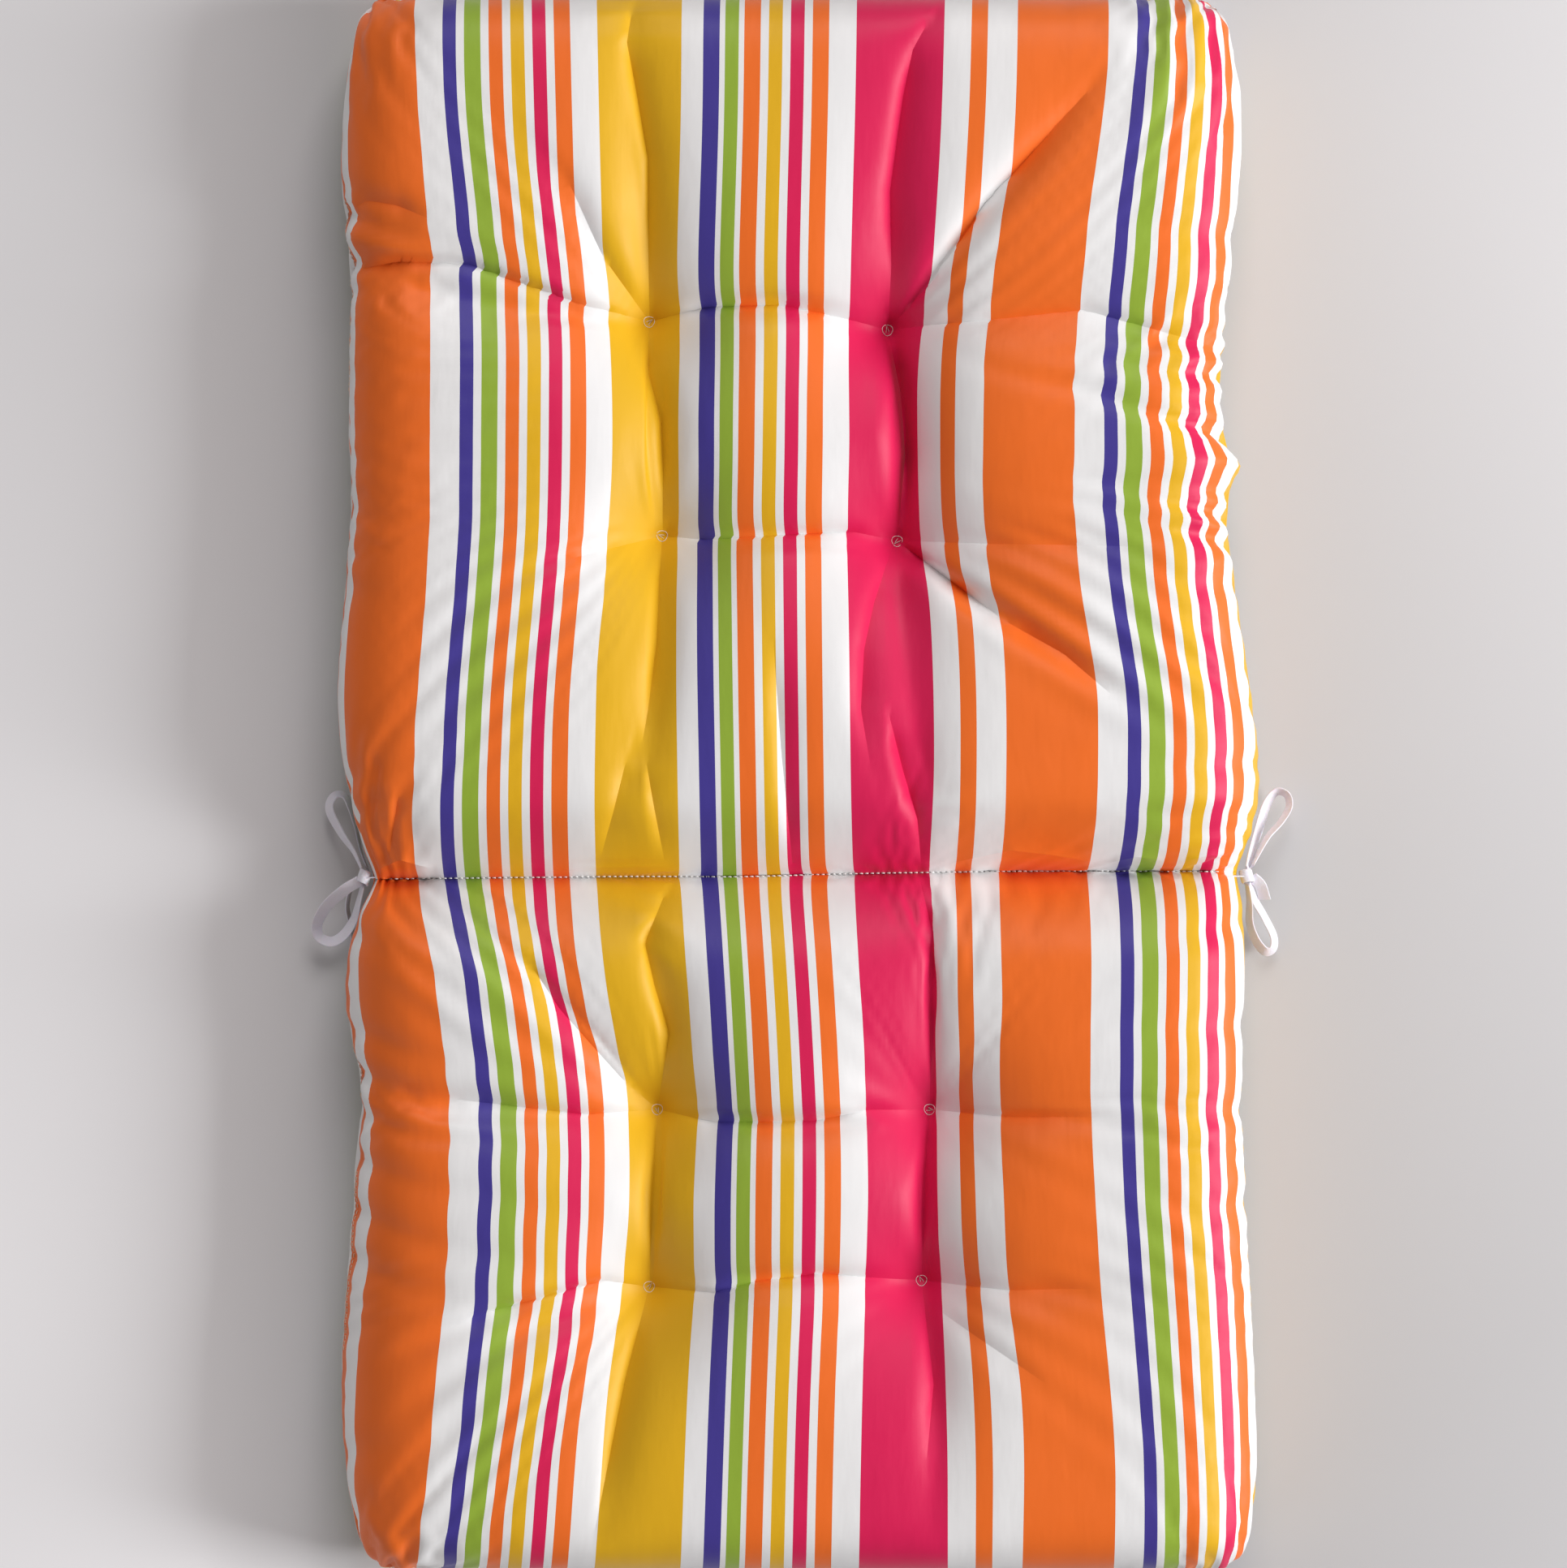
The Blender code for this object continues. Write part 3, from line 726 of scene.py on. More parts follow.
def soften(values):
    """Values with their kinks taken out along the last axis; both ends stay."""
    for _ in range(SOFTENING_PASSES):
        middle = 0.25 * values[..., :-2] + 0.5 * values[..., 1:-1] + 0.25 * values[..., 2:]
        values = np.concatenate([values[..., :1], middle, values[..., -1:]], axis=-1)
    return values


def cut_places():
    """Where each column lies across on a cover with no tufts, from its own length of cloth."""
    _, run = side_run(0, SIDE_RADIUS)
    width = COVER_WIDTH - 2 * (run[-1] - SIDE_RADIUS)
    x = np.linspace(0, width, UNROLL_STEPS)
    along = unrolled(x, RISE * swell(np.minimum(x, width - x), SIDE_RADIUS, SIDE_POWER))
    return np.interp((column_across - LEFT_SEAM) / COVER_WIDTH * along[-1], along, x), width


left_side = side_place(row_y, "left")[:, None]
right_side = side_place(row_y, "right")[:, None]
front_x = soften(np.array([row_places(y) for y in row_y]))
front_y = np.repeat(row_y[:, None], COLUMNS + 1, axis=1)
front_z = front_height(front_x, front_y, left_side, right_side)
full_rows = end_and_fold_swell(row_y)[:, None]
from_left, from_right = column_across - LEFT_SEAM, RIGHT_SEAM - column_across
front_x = front_x - LEFT_BULGE * full_rows * np.sin(np.pi * np.clip(from_left / BULGE_REACH, 0, 1))
front_x = front_x + RIGHT_BULGE * full_rows * np.sin(np.pi * np.clip(from_right / BULGE_REACH, 0, 1))
front_z[[0, -1], :] = SEAM_HEIGHT
front_z[:, [0, -1]] = SEAM_HEIGHT

fold_sway = np.interp(front_x, *zip(*FOLD_SWAY)) * np.exp(-(((front_y - FOLD_Y) / SWAY_REACH) ** 2))
cut_x, cut_width = cut_places()
cut_front_x = np.repeat(cut_x[None, :] - cut_width / 2, ROWS + 1, axis=0)
cut_full = fullness(cut_front_x, front_y, -cut_width / 2, cut_width / 2)
cut_front_x = cut_front_x * CUT_EASE_ACROSS
cut_y = front_y * CUT_EASE_ALONG
cut_share = fold_share(cut_front_x, front_y, -cut_width / 2, cut_width / 2)
cut_front_z = SEAM_HEIGHT + raised(RISE, cut_full, FOLD_RISE * cut_share)

back_share = (cut_x / cut_width)[None, :]
back_x = left_side + (right_side - left_side) * back_share
back_z = back_height(back_x, front_y, left_side, right_side)
cut_back_z = SEAM_HEIGHT - raised(SINK, cut_full, FOLD_DIP * cut_share)
print("cut width, mm:", round(cut_width), "sewn width, mm:", (right_side - left_side).min().round())

# %% [markdown]
# ## The closed cover
# Front and back share their rim, which is the seam. The back shows little, so its grid keeps
# every second thread, and a face beside the seam has one corner more where a thread ends. The
# same builder makes the cover twice: coarse for the cloth solver, and fine once it has settled.

# %% Build the cover
BACK_PANEL_SHIFT = 93.0


def cover_layout(rows, columns, split=()):
    """The index of each grid point on the front and on the back, and all the faces.

    split holds the quads of the front that a crease crosses, each with the way it is cut.
    """
    front = np.arange((rows + 1) * (columns + 1)).reshape(rows + 1, columns + 1)
    back = front.copy()
    inner_count = (rows // 2 - 1) * (columns // 2 - 1)
    back[2:rows:2, 2:columns:2] = front.size + np.arange(inner_count).reshape(rows // 2 - 1, -1)
    faces = []
    for row in range(rows):
        for column in range(columns):
            a, b = front[row, column], front[row, column + 1]
            c, d = front[row + 1, column + 1], front[row + 1, column]
            if (row, column, "rising") in split:
                faces += [(a, b, c), (a, c, d)]
            elif (row, column, "falling") in split:
                faces += [(a, b, d), (b, c, d)]
            else:
                faces.append((a, b, c, d))
    front_count = len(faces)
    for row in range(0, rows, 2):
        for column in range(0, columns, 2):
            corners = [(row, column), (row, column + 2), (row + 2, column + 2), (row + 2, column)]
            ring = []
            for (r0, c0), (r1, c1) in zip(corners, corners[1:] + corners[:1]):
                ring.append(back[r0, c0])
                on_seam = (r0 == r1 and r0 in (0, rows)) or (c0 == c1 and c0 in (0, columns))
                if on_seam:
                    ring.append(front[(r0 + r1) // 2, (c0 + c1) // 2])
            faces.append(tuple(ring[::-1]))
    return front, back, faces, front_count


def joined(front, back):
    """One list from a front grid and the inner places of a back grid at every second thread."""
    depth = front.shape[2:]
    return np.concatenate([front.reshape(-1, *depth), back[1:-1, 1:-1].reshape(-1, *depth)])


def cover_mesh(name, front, back, place, layout):
    """The cover as a mesh, with its places on the flat cloth in a UV map, in metres."""
    _, _, faces, front_count = layout
    mesh = bpy.data.meshes.new(name)
    points = joined(front, back)
    mesh.from_pydata((points * MM).tolist(), [], [[int(i) for i in face] for face in faces])
    places = joined(place, place[::2, ::2])
    corner = np.empty(len(mesh.loops), int)
    mesh.loops.foreach_get("vertex_index", corner)
    uv = places[corner]
    first_back_corner = sum(len(face) for face in faces[:front_count])
    uv[first_back_corner:, 0] += BACK_PANEL_SHIFT
    mesh.uv_layers.new(name="cloth").data.foreach_set("uv", (uv * MM).ravel())
    mesh.materials.append(striped_cloth)
    mesh.shade_smooth()
    return mesh


sewn_front = np.stack([front_x, front_y + fold_sway, front_z], -1)
sewn_back = np.stack(np.broadcast_arrays(back_x, front_y + fold_sway, back_z), -1)[::2, ::2]
cut_front = np.stack([cut_front_x, cut_y, cut_front_z], -1)
cut_back = np.stack([cut_front_x, cut_y, cut_back_z], -1)[::2, ::2]
flat_place = np.stack(np.meshgrid(column_across, row_along), -1)
sewn_points = joined(sewn_front, sewn_back)
cut_points = joined(cut_front, cut_back)
coarse_layout = cover_layout(ROWS, COLUMNS)
front_index, back_index = coarse_layout[:2]
coarse_mesh = cover_mesh("coarse_cover", sewn_front, sewn_back, flat_place, coarse_layout)
cushion = linked("striped_cushion", coarse_mesh)
print("cover:", len(cushion.data.vertices), "points,", len(cushion.data.polygons), "faces")

# %% [markdown]
# ## Let the cloth settle
# The seam, the tufts and the fold are sewn, so they are led from where the cut cover has them to
# where the finished cushion has them, and held there. Everything between them is free: the
# filling presses it outward and backs it softly, and the cloth solver looks for a rest where
# every thread keeps the length it had when it was cut. Where there is too much thread, it wrinkles.
# The real cover lies taut in a few places, and there a share of the wrinkles is taken out again.

# %% Settle the cover
TUFT_HOLD = 4.5
CLOTH_SETTINGS = {
    "quality": 6, "mass": 0.01, "use_pressure": True, "uniform_pressure_force": 100.0,
    "tension_stiffness": 40, "compression_stiffness": 25, "shear_stiffness": 12,
    "bending_stiffness": 0.4, "tension_damping": 8, "compression_damping": 8,
    "shear_damping": 8, "bending_damping": 0.5, "air_damping": 2,
}
DRAW_IN_FRAMES = 12
SETTLE_FRAMES = 24
SUPPORT = 0.5
MOST_MOVE = 14.0
FLOOR_SOFTNESS, NEAR_FLOOR = 1.5, 20.0
Taut = namedtuple("Taut", "x y reach share")
TAUT_PLACES = [
    Taut(165, -375, 95, 0.8), Taut(170, -255, 50, 0.6), Taut(62, -48, 30, 0.7),
    Taut(-245, -55, 45, 0.6), Taut(150, -85, 42, 0.5), Taut(-235, 410, 50, 0.6),
]


def pin_weights():
    """How firmly each point is held: 1 where it is sewn, and a little where filling backs it."""
    weights = np.full(len(sewn_points), SUPPORT)
    weights[front_index[[0, -1], :].ravel()] = 1
    weights[front_index[:, [0, -1]].ravel()] = 1
    weights[front_index[SEAT_ROWS, :]] = 1
    weights[back_index[SEAT_ROWS, ::2]] = 1
    for tuft in TUFTS.values():
        reach = np.hypot(sewn_points[:, 0] - tuft.x, sewn_points[:, 1] - tuft.y)
        weights[reach < TUFT_HOLD] = 1
        for grid in (front_index, back_index[::2, ::2]):
            nearest = grid.ravel()[np.argmin(reach[grid.ravel()])]
            weights[nearest] = 1
    return weights


def settle(cover):
    """Draw the cut cover in to its sewn shape, let it settle, and return its points in mm."""
    cover.data.vertices.foreach_set("co", (cut_points * MM).ravel())
    cover.shape_key_add(name="cut")
    sewn = cover.shape_key_add(name="sewn")
    sewn.data.foreach_set("co", (sewn_points * MM).ravel())
    for value, frame_number in ((0, 1), (1, DRAW_IN_FRAMES)):
        sewn.value = value
        sewn.keyframe_insert("value", frame=frame_number)
    held = cover.vertex_groups.new(name="held")
    weights = pin_weights()
    for value in np.unique(weights):
        held.add(np.flatnonzero(weights == value).tolist(), float(value), "REPLACE")
    cloth = cover.modifiers.new("cloth", "CLOTH")
    settings = cloth.settings
    for name, value in CLOTH_SETTINGS.items():
        setattr(settings, name, value)
    settings.vertex_group_mass = held.name
    settings.effector_weights.gravity = 0
    cloth.collision_settings.use_collision = False
    cloth.collision_settings.use_self_collision = False
    cloth.point_cache.frame_start = 1
    cloth.point_cache.frame_end = SETTLE_FRAMES
    scene = bpy.context.scene
    for frame_number in range(1, SETTLE_FRAMES + 1):
        scene.frame_set(frame_number)
    evaluated = cover.evaluated_get(bpy.context.evaluated_depsgraph_get())
    points = np.empty(len(sewn_points) * 3)
    evaluated.data.vertices.foreach_get("co", points)
    scene.frame_set(1)
    cover.modifiers.remove(cloth)
    cover.shape_key_clear()
    cover.vertex_groups.clear()
    return points.reshape(-1, 3) / MM


def fitted(points):
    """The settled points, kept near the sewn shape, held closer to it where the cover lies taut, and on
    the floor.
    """
    moved = points - sewn_points
    distance = np.linalg.norm(moved, axis=1)[:, None]
    share = MOST_MOVE * np.tanh(distance / MOST_MOVE) / np.maximum(distance, 1e-6)
    for taut in TAUT_PLACES:
        away = np.hypot(sewn_points[:, 0] - taut.x, sewn_points[:, 1] - taut.y)[:, None]
        share = share * (1 - taut.share * np.exp(-((away / taut.reach) ** 2)))
    points = sewn_points + moved * share
    lowest = FLOOR_SOFTNESS * np.log1p(np.exp(points[:, 2] / FLOOR_SOFTNESS))
    points[:, 2] = np.where(points[:, 2] < NEAR_FLOOR, lowest, points[:, 2])
    return points


settled_points = settle(cushion)
moved = np.linalg.norm(settled_points - sewn_points, axis=1)
print("the cloth moved, mm: mean", moved.mean().round(1), "most", moved.max().round(1))
settled_points = fitted(settled_points)
print("heights, mm:", settled_points[:, 2].min().round(1), "to", settled_points[:, 2].max().round(1))

# %% [markdown]
# ## A finer cover
# The solver works on threads some 6 mm apart, too coarse for a crisp crease. So one more thread
# is laid between each two, on the smooth surface that a subdivision modifier would give. Doing it
# here, on the grid itself, keeps every thread in its row, and the next step needs that.


# %% Lay threads between the threads
def halved(values, kept):
    """One more row between each two, on a smooth surface; the kept rows stay where they are."""
    smooth = values.copy()
    smooth[1:-1] = (values[:-2] + 6 * values[1:-1] + values[2:]) / 8
    smooth[kept] = values[kept]
    fine = np.empty((2 * len(values) - 1, *values.shape[1:]))
    fine[::2] = smooth
    fine[1::2] = (values[:-1] + values[1:]) / 2
    return fine


def finer(grid, kept_rows, kept_columns):
    """A grid with its threads doubled both ways."""
    tall = halved(grid, kept_rows)
    return halved(tall.swapaxes(0, 1), kept_columns).swapaxes(0, 1).copy()


settled_front = settled_points[: front_index.size].reshape(ROWS + 1, COLUMNS + 1, 3)
settled_back = settled_points[back_index[::2, ::2]]
fine_front = finer(settled_front, [0, SEAT_ROWS, ROWS], [0, COLUMNS])
fine_back = finer(settled_back, [0, SEAT_ROWS // 2, ROWS // 2], [0, COLUMNS // 2])
fine_place = finer(flat_place, [0, SEAT_ROWS, ROWS], [0, COLUMNS])
FINE_ROWS, FINE_COLUMNS = 2 * ROWS, 2 * COLUMNS
print("threads now:", FINE_ROWS + 1, "by", FINE_COLUMNS + 1)

# %% [markdown]
# ## Puckered sides
# Beside some tufts the side of the cover has more length than the cushion, so it lies in short
# folds, one above the other, that run in from the seam. Each row of the table is one of them: the
# station where it meets the seam, how deep it is, how wide, how far in it reaches, and how much it
# climbs on its way in. A negative depth is a ridge.

# %% Pucker the sides
Pucker = namedtuple("Pucker", "y depth width reach climb")
PUCKERS = {
    "right": [
        Pucker(334, 1.3, 8, 140, 0.1), Pucker(294, 1.3, 8, 130, 0), Pucker(277, 1.6, 5, 110, 0),
        Pucker(260, 1.9, 4, 105, 0.2), Pucker(248, 3.4, 5, 135, 0.1), Pucker(232, 1.4, 5, 110, 0.1),
        Pucker(206, 4.0, 4.5, 175, 0.27), Pucker(195, -3.2, 5, 78, 0.1),
        Pucker(176, 2.6, 5, 110, 0.1), Pucker(159, 3.4, 4.5, 130, 0.2),
        Pucker(141, 2.9, 5, 165, 0.24), Pucker(118, 1.1, 7, 110, 0.1), Pucker(12, 1.1, 5, 95, 0),
        Pucker(-24, 1.6, 5, 100, 0.1), Pucker(-38, 1.6, 4, 100, 0.2), Pucker(-84, 1.3, 6, 100, -0.1),
        Pucker(-150, 1.1, 7, 110, 0), Pucker(-205, 1.4, 7, 120, 0.1), Pucker(-260, 1.0, 7, 110, 0),
    ],
    "left": [
        Pucker(372, 1.1, 6, 110, -0.2), Pucker(357, 3.3, 6, 145, -0.26),
        Pucker(341, -1.1, 6, 120, -0.1), Pucker(322, 2.6, 6, 130, 0), Pucker(304, 1.1, 5, 110, 0),
        Pucker(172, 0.9, 8, 120, -0.1), Pucker(122, 0.8, 8, 120, -0.1), Pucker(-8, 1.3, 6, 110, 0.3),
        Pucker(-34, 1.7, 5, 110, 0.4), Pucker(-88, 1.2, 6, 110, -0.3),
        Pucker(-150, 1.5, 6, 130, -0.2), Pucker(-178, 2.2, 6, 150, -0.15),
        Pucker(-204, 2.1, 6, 150, -0.15), Pucker(-231, 1.8, 7, 160, -0.2),
        Pucker(-262, 1.8, 7, 160, -0.25), Pucker(-293, 1.5, 7, 150, -0.25),
        Pucker(-420, 1.1, 8, 120, 0.2),
    ],
}
PUCKER_RISE = 10.0
PUCKER_PULL = 0.6
PUCKER_WANDER, WANDER_LENGTH = 1.5, 16.0
WIDER_INWARD = 0.5
DEPTH_AT_SEAM = 0.35


def pucker_depth(pucker, side, grid, place):
    """How far a pucker draws each point of the front grid in."""
    across = place[..., 0]
    inward = RIGHT_SEAM - across if side == "right" else across - LEFT_SEAM
    off_line = grid[..., 1] - pucker.y - pucker.climb * inward
    off_line = off_line - PUCKER_WANDER * np.sin(inward / WANDER_LENGTH)
    width = pucker.width * (1 + WIDER_INWARD * inward / pucker.reach)
    fade = np.clip(DEPTH_AT_SEAM + inward / PUCKER_RISE, 0, 1) * np.exp(-((inward / pucker.reach) ** 3))
    return pucker.depth * fade * np.exp(-((off_line / width) ** 2))


def grid_normals(grid):
    """The way out of the cloth at each point of a front grid."""
    normal = np.cross(np.gradient(grid, axis=1), np.gradient(grid, axis=0))
    return normal / np.maximum(np.linalg.norm(normal, axis=-1, keepdims=True), 1e-9)


draws = {
    side: sum(pucker_depth(pucker, side, fine_front, fine_place) for pucker in puckers)
    for side, puckers in PUCKERS.items()
}
draw = draws["left"] + draws["right"]
fine_front -= grid_normals(fine_front) * draw[..., None]
fine_front[..., 0] += PUCKER_PULL * (draws["left"] - draws["right"])
pucker_count = sum(len(puckers) for puckers in PUCKERS.values())
print(pucker_count, "puckers, the deepest, mm:", draw.max().round(1))

# %% [markdown]
# ## Fine creases
# Each crease is a line through places measured on the real cushion, with its depth and its width.
# First the threads nearest to the line are slid along the cloth until they lie on it, and then
# the line is pressed in. So the crease is a true edge of the mesh, and it can be marked sharp,
# which a dent across the grid could never be. A negative depth is a lip that stands up instead.
# Where the cloth above a crease has slipped to the right before it was pulled tight, the stripes
# have a kink there: the last number of its row.

# %% List the creases
Crease = namedtuple("Crease", "depth width lap places kink", defaults=[0])
CREASES = [
    # across, through the four rows of tufts
    Crease(7, 5, 0.6, [(-290, 316), (-250, 322), (-209, 320), (-139, 296), (-96, 287)], 2.6),
    Crease(6.5, 5, 0.5, [(-96, 287), (-61, 295), (-15, 296), (25, 288), (52, 282)], 1),
    Crease(4.5, 6, 0.5, [(52, 282), (113, 286), (171, 292), (257, 269)], 1.4),
    Crease(3.5, 6, 0.3, [(-146, 138), (-88, 154)]),
    Crease(6, 5, 0.5, [(-88, 154), (-61, 151), (5, 155), (30, 156), (58, 151)], 1.6),
    Crease(2.5, 7, 0.3, [(58, 151), (115, 148), (166, 147), (206, 146)], 0.6),
    Crease(5, 5, 0.5, [(-217, -194), (-136, -204), (-91, -202)], 0.6),
    Crease(6, 5, 0.5, [(-91, -202), (-56, -209), (5, -208), (40, -201), (78, -202)], 0.6),
    Crease(4, 6, 0.4, [(78, -202), (121, -205), (176, -205)], 0.6),
    Crease(6, 5, 0.5, [(-202, -327), (-177, -320), (-146, -312), (-124, -307), (-96, -312)], 1.7),
    Crease(6, 5, 0.5, [(-96, -312), (-56, -314), (-30, -307), (10, -302), (73, -308)], 0.8),
    Crease(3.5, 6, 0.4, [(73, -308), (126, -312), (184, -310)], 0.6),
    # along, through the yellow band
    Crease(6, 5, -0.4, [(-106, 476), (-109, 456), (-104, 431), (-96, 385), (-96, 287)]),
    Crease(5.5, 4, -0.4, [(-96, 287), (-96, 254), (-88, 224), (-87, 195), (-88, 154)]),
    Crease(5, 4.5, -0.5, [(-88, 154), (-91, 86), (-96, 46), (-100, 22)]),
    Crease(4, 8, -0.5, [(-109, 16), (-117, -16), (-126, -47)]),
    Crease(3.5, 6, -0.4, [(-97, 14), (-93, -10), (-86, -48)]),
    Crease(5, 4.5, -0.5, [(-86, -68), (-98, -98), (-92, -125), (-83, -154), (-91, -202)]),
    Crease(4.5, 4.5, -0.4, [(-91, -202), (-93, -244), (-96, -312)]),
    Crease(4.5, 4.5, -0.4, [(-96, -312), (-111, -370), (-129, -461)]),
    # along, through the pink band
    Crease(7, 6, -0.5, [(76, 468), (67, 452), (61, 423), (57, 395), (53, 365), (54, 320), (52, 282)]),
    Crease(15, 5, -0.7, [(52, 282), (60, 244), (63, 204), (58, 151)]),
    Crease(7, 8, -0.6, [(55, 148), (43, 111), (37, 83), (35, 46), (41, 10)]),
    Crease(7, 6, -0.5, [(52, 44), (61, 8), (70, -22), (73, -54)]),
    Crease(5, 5, -0.4, [(72, -60), (79, -90), (79, -118), (78, -202)]),
    Crease(7, 5, -0.5, [(78, -202), (75, -244), (73, -308)]),
    Crease(4, 5, -0.4, [(73, -308), (80, -370), (75, -420)]),
    # in the narrow stripes above the fold, and high up in the orange at the left
    Crease(5, 6, 0.5, [(-7, -50), (-9, -30), (-14, 20), (-17, 60), (-19, 92)]),
    Crease(5, 7, 0.6, [(-284, 352), (-270, 360), (-250, 356), (-230, 347)]),
    # slanting away from a tuft
    Crease(9, 4, 0.7, [(58, 151), (70, 142), (96, 122), (123, 101)]),
    Crease(3, 7, 0.3, [(123, 101), (160, 80), (191, 53)]),
    Crease(6, 5.5, 0.4, [(52, 282), (78, 310), (113, 360), (179, 431)], 1),
    Crease(2.5, 5, 0.4, [(-146, 373), (-124, 325), (-96, 287)]),
    Crease(5, 5, 0.4, [(-167, -113), (-151, -138), (-111, -184), (-91, -202)]),
    Crease(2, 7, 0.3, [(75, -320), (121, -350), (151, -370)]),
    # lips over the fold near its two ends, and the deep line under them
    Crease(-2.5, 5, 0, [(88, -50), (104, -46), (128, -41), (154, -44), (184, -49)]),
    Crease(-2.5, 4, 0, [(188, -49), (206, -45), (224, -48)]),
    Crease(-2.5, 4, 0, [(234, -48), (252, -44), (264, -47)]),
    Crease(-3.5, 4.5, 0, [(-264, -53), (-250, -47), (-228, -53)]),
    Crease(10, 5.5, 0.7, [(90, -54.6), (130, -54), (180, -54.2), (264, -54.2)]),
    Crease(10, 5, 0.7, [(-268, -59.3), (-245, -59), (-222, -58.6)]),
    # a short one that comes down to the left end of the fold
    Crease(5, 5, -0.4, [(-249, -4), (-253, -26), (-257, -48)]),
]
print(len(CREASES), "fine creases")


# %% Slide the threads onto the creases and press these in
SLIDE_REACH = 3
KINK_REACH = 8.0
ABOVE_SEAM = 4.0
FADE_IN, FAINTEST_START = 5, 0.4
FADE_OUT, FAINTEST_END = 3, 0.15
UPWARD_GAIN = 1.6


def slide_onto(line_x, line_y, grid, place):
    """Slide threads of a grid, along its columns, onto a line that runs across.

    The line gives y at each x. Returns the row that now lies on it at each column it crosses.
    """
    order = np.argsort(line_x)
    line_x, line_y = np.array(line_x)[order], np.array(line_y)[order]
    path = {}
    for column in range(grid.shape[1]):
        x, y, z = grid[:, column].T
        over = y - np.interp(x, line_x, line_y)
        on_top = (x >= line_x[0]) & (x <= line_x[-1]) & (z > SEAM_HEIGHT + ABOVE_SEAM)
        crossed = np.flatnonzero((over[:-1] < 0) & (over[1:] >= 0) & on_top[:-1] & on_top[1:])
        if len(crossed) == 0:
            continue
        low = crossed[0]
        exact = low + over[low] / (over[low] - over[low + 1])
        row = int(round(exact))
        rows = np.arange(max(row - SLIDE_REACH, 1), min(row + SLIDE_REACH, len(grid) - 2) + 1)
        share = 1 - np.abs(rows - row) / (SLIDE_REACH + 1)
        target = rows + (exact - row) * share
        base = np.floor(target).astype(int)
        part = (target - base)[:, None]
        for values in (grid, place):
            line = values[:, column].copy()
            values[rows, column] = line[base] * (1 - part) + line[base + 1] * part
        path[column] = row
    return path


def lay_threads_on(creases, grid, place):
    """Slide threads onto every crease. Returns the quads to split and the pairs of sharp points."""
    split, sharp = set(), []
    for crease in creases:
        line_x, line_y = np.array(crease.places, float).T
        if np.ptp(line_x) >= np.ptp(line_y):
            path = slide_onto(line_x, line_y, grid, place)
            nodes = [(row, column) for column, row in sorted(path.items())]
        else:
            turned = grid.swapaxes(0, 1)[:, :, [1, 0, 2]].copy()
            turned_place = place.swapaxes(0, 1).copy()
            path = slide_onto(line_y, line_x, turned, turned_place)
            grid[:] = turned[:, :, [1, 0, 2]].swapaxes(0, 1)
            place[:] = turned_place.swapaxes(0, 1)
            nodes = [(row, column) for row, column in sorted(path.items())]
        for (r0, c0), (r1, c1) in zip(nodes, nodes[1:]):
            if max(abs(r1 - r0), abs(c1 - c0)) > 1:
                continue
            sharp.append(((r0, c0), (r1, c1)))
            if r0 != r1 and c0 != c1:
                way = "rising" if (r1 - r0) * (c1 - c0) > 0 else "falling"
                split.add((min(r0, r1), min(c0, c1), way))
    return split, sharp


def crease_drop(crease, x, y):
    """How deep a crease presses each point in, and how far it moves it to the right.

    The lap rises on the left of the line as it runs, or on its right where it is below 0. The
    kink moves only the cloth on the left.
    """
    places = np.array(crease.places, float)
    run = unrolled(places[:, 0], places[:, 1])
    nearest = np.full(x.shape, 1e9)
    drop, slip = np.zeros(x.shape), np.zeros(x.shape)
    for number, (start, end) in enumerate(zip(places[:-1], places[1:])):
        chord = end - start
        length = np.hypot(*chord)
        t = np.clip(((x - start[0]) * chord[0] + (y - start[1]) * chord[1]) / length**2, 0, 1)
        aside_x, aside_y = x - start[0] - t * chord[0], y - start[1] - t * chord[1]
        distance = np.hypot(aside_x, aside_y)
        left = np.sign(chord[0] * aside_y - chord[1] * aside_x)
        share = (run[number] + t * length) / run[-1]
        fade = np.clip(FADE_IN * share, FAINTEST_START, 1)
        fade = fade * np.clip(FADE_OUT * (1 - share), FAINTEST_END, 1)
        near = distance / crease.width
        shape = np.exp(-near) - crease.lap * left * near * np.exp(-near)
        closer = distance < nearest
        drop = np.where(closer, crease.depth * fade * shape, drop)
        slipped = crease.kink * fade * (left > 0) * np.exp(-distance / KINK_REACH)
        slip = np.where(closer, slipped, slip)
        nearest = np.minimum(nearest, distance)
    return drop, slip


split_quads, sharp_pairs = lay_threads_on(CREASES, fine_front, fine_place)
pressed = [crease_drop(crease, fine_front[..., 0], fine_front[..., 1]) for crease in CREASES]
drops, slips = np.array(pressed).swapaxes(0, 1)
drop = drops.max(axis=0).clip(0) + drops.min(axis=0).clip(None, 0)
on_top = np.clip(UPWARD_GAIN * grid_normals(fine_front)[..., 2], 0, 1)
fine_front[..., 2] -= drop * on_top
fine_front[..., 0] += slips.max(axis=0) * on_top
print("deepest crease, mm:", drop.max().round(1), "and", len(sharp_pairs), "sharp edges")

# %% [markdown]
# ## Seam and sewing
# Where front and back are joined, the thread pulls the cloth in, and both panels swell beside the
# seam. Stitches are short lengths of round thread that come out of the cloth and go back into it.
# Each is laid on the finished surface, which a ray from above or below finds. Beside the seam,
# where the cloth is nearly upright, the nearest point of the cover is taken.

# %% Draw the seam in and build the fine cover
SEAM_GROOVE = 1.8
SEAM_SWELL = 0.5
SEAM_SLANT = 0.7
UNEVENNESS, SHORT_WAVE, LONG_WAVE, WAVE_SHIFT = 0.35, 5.3, 17.0, 1.3


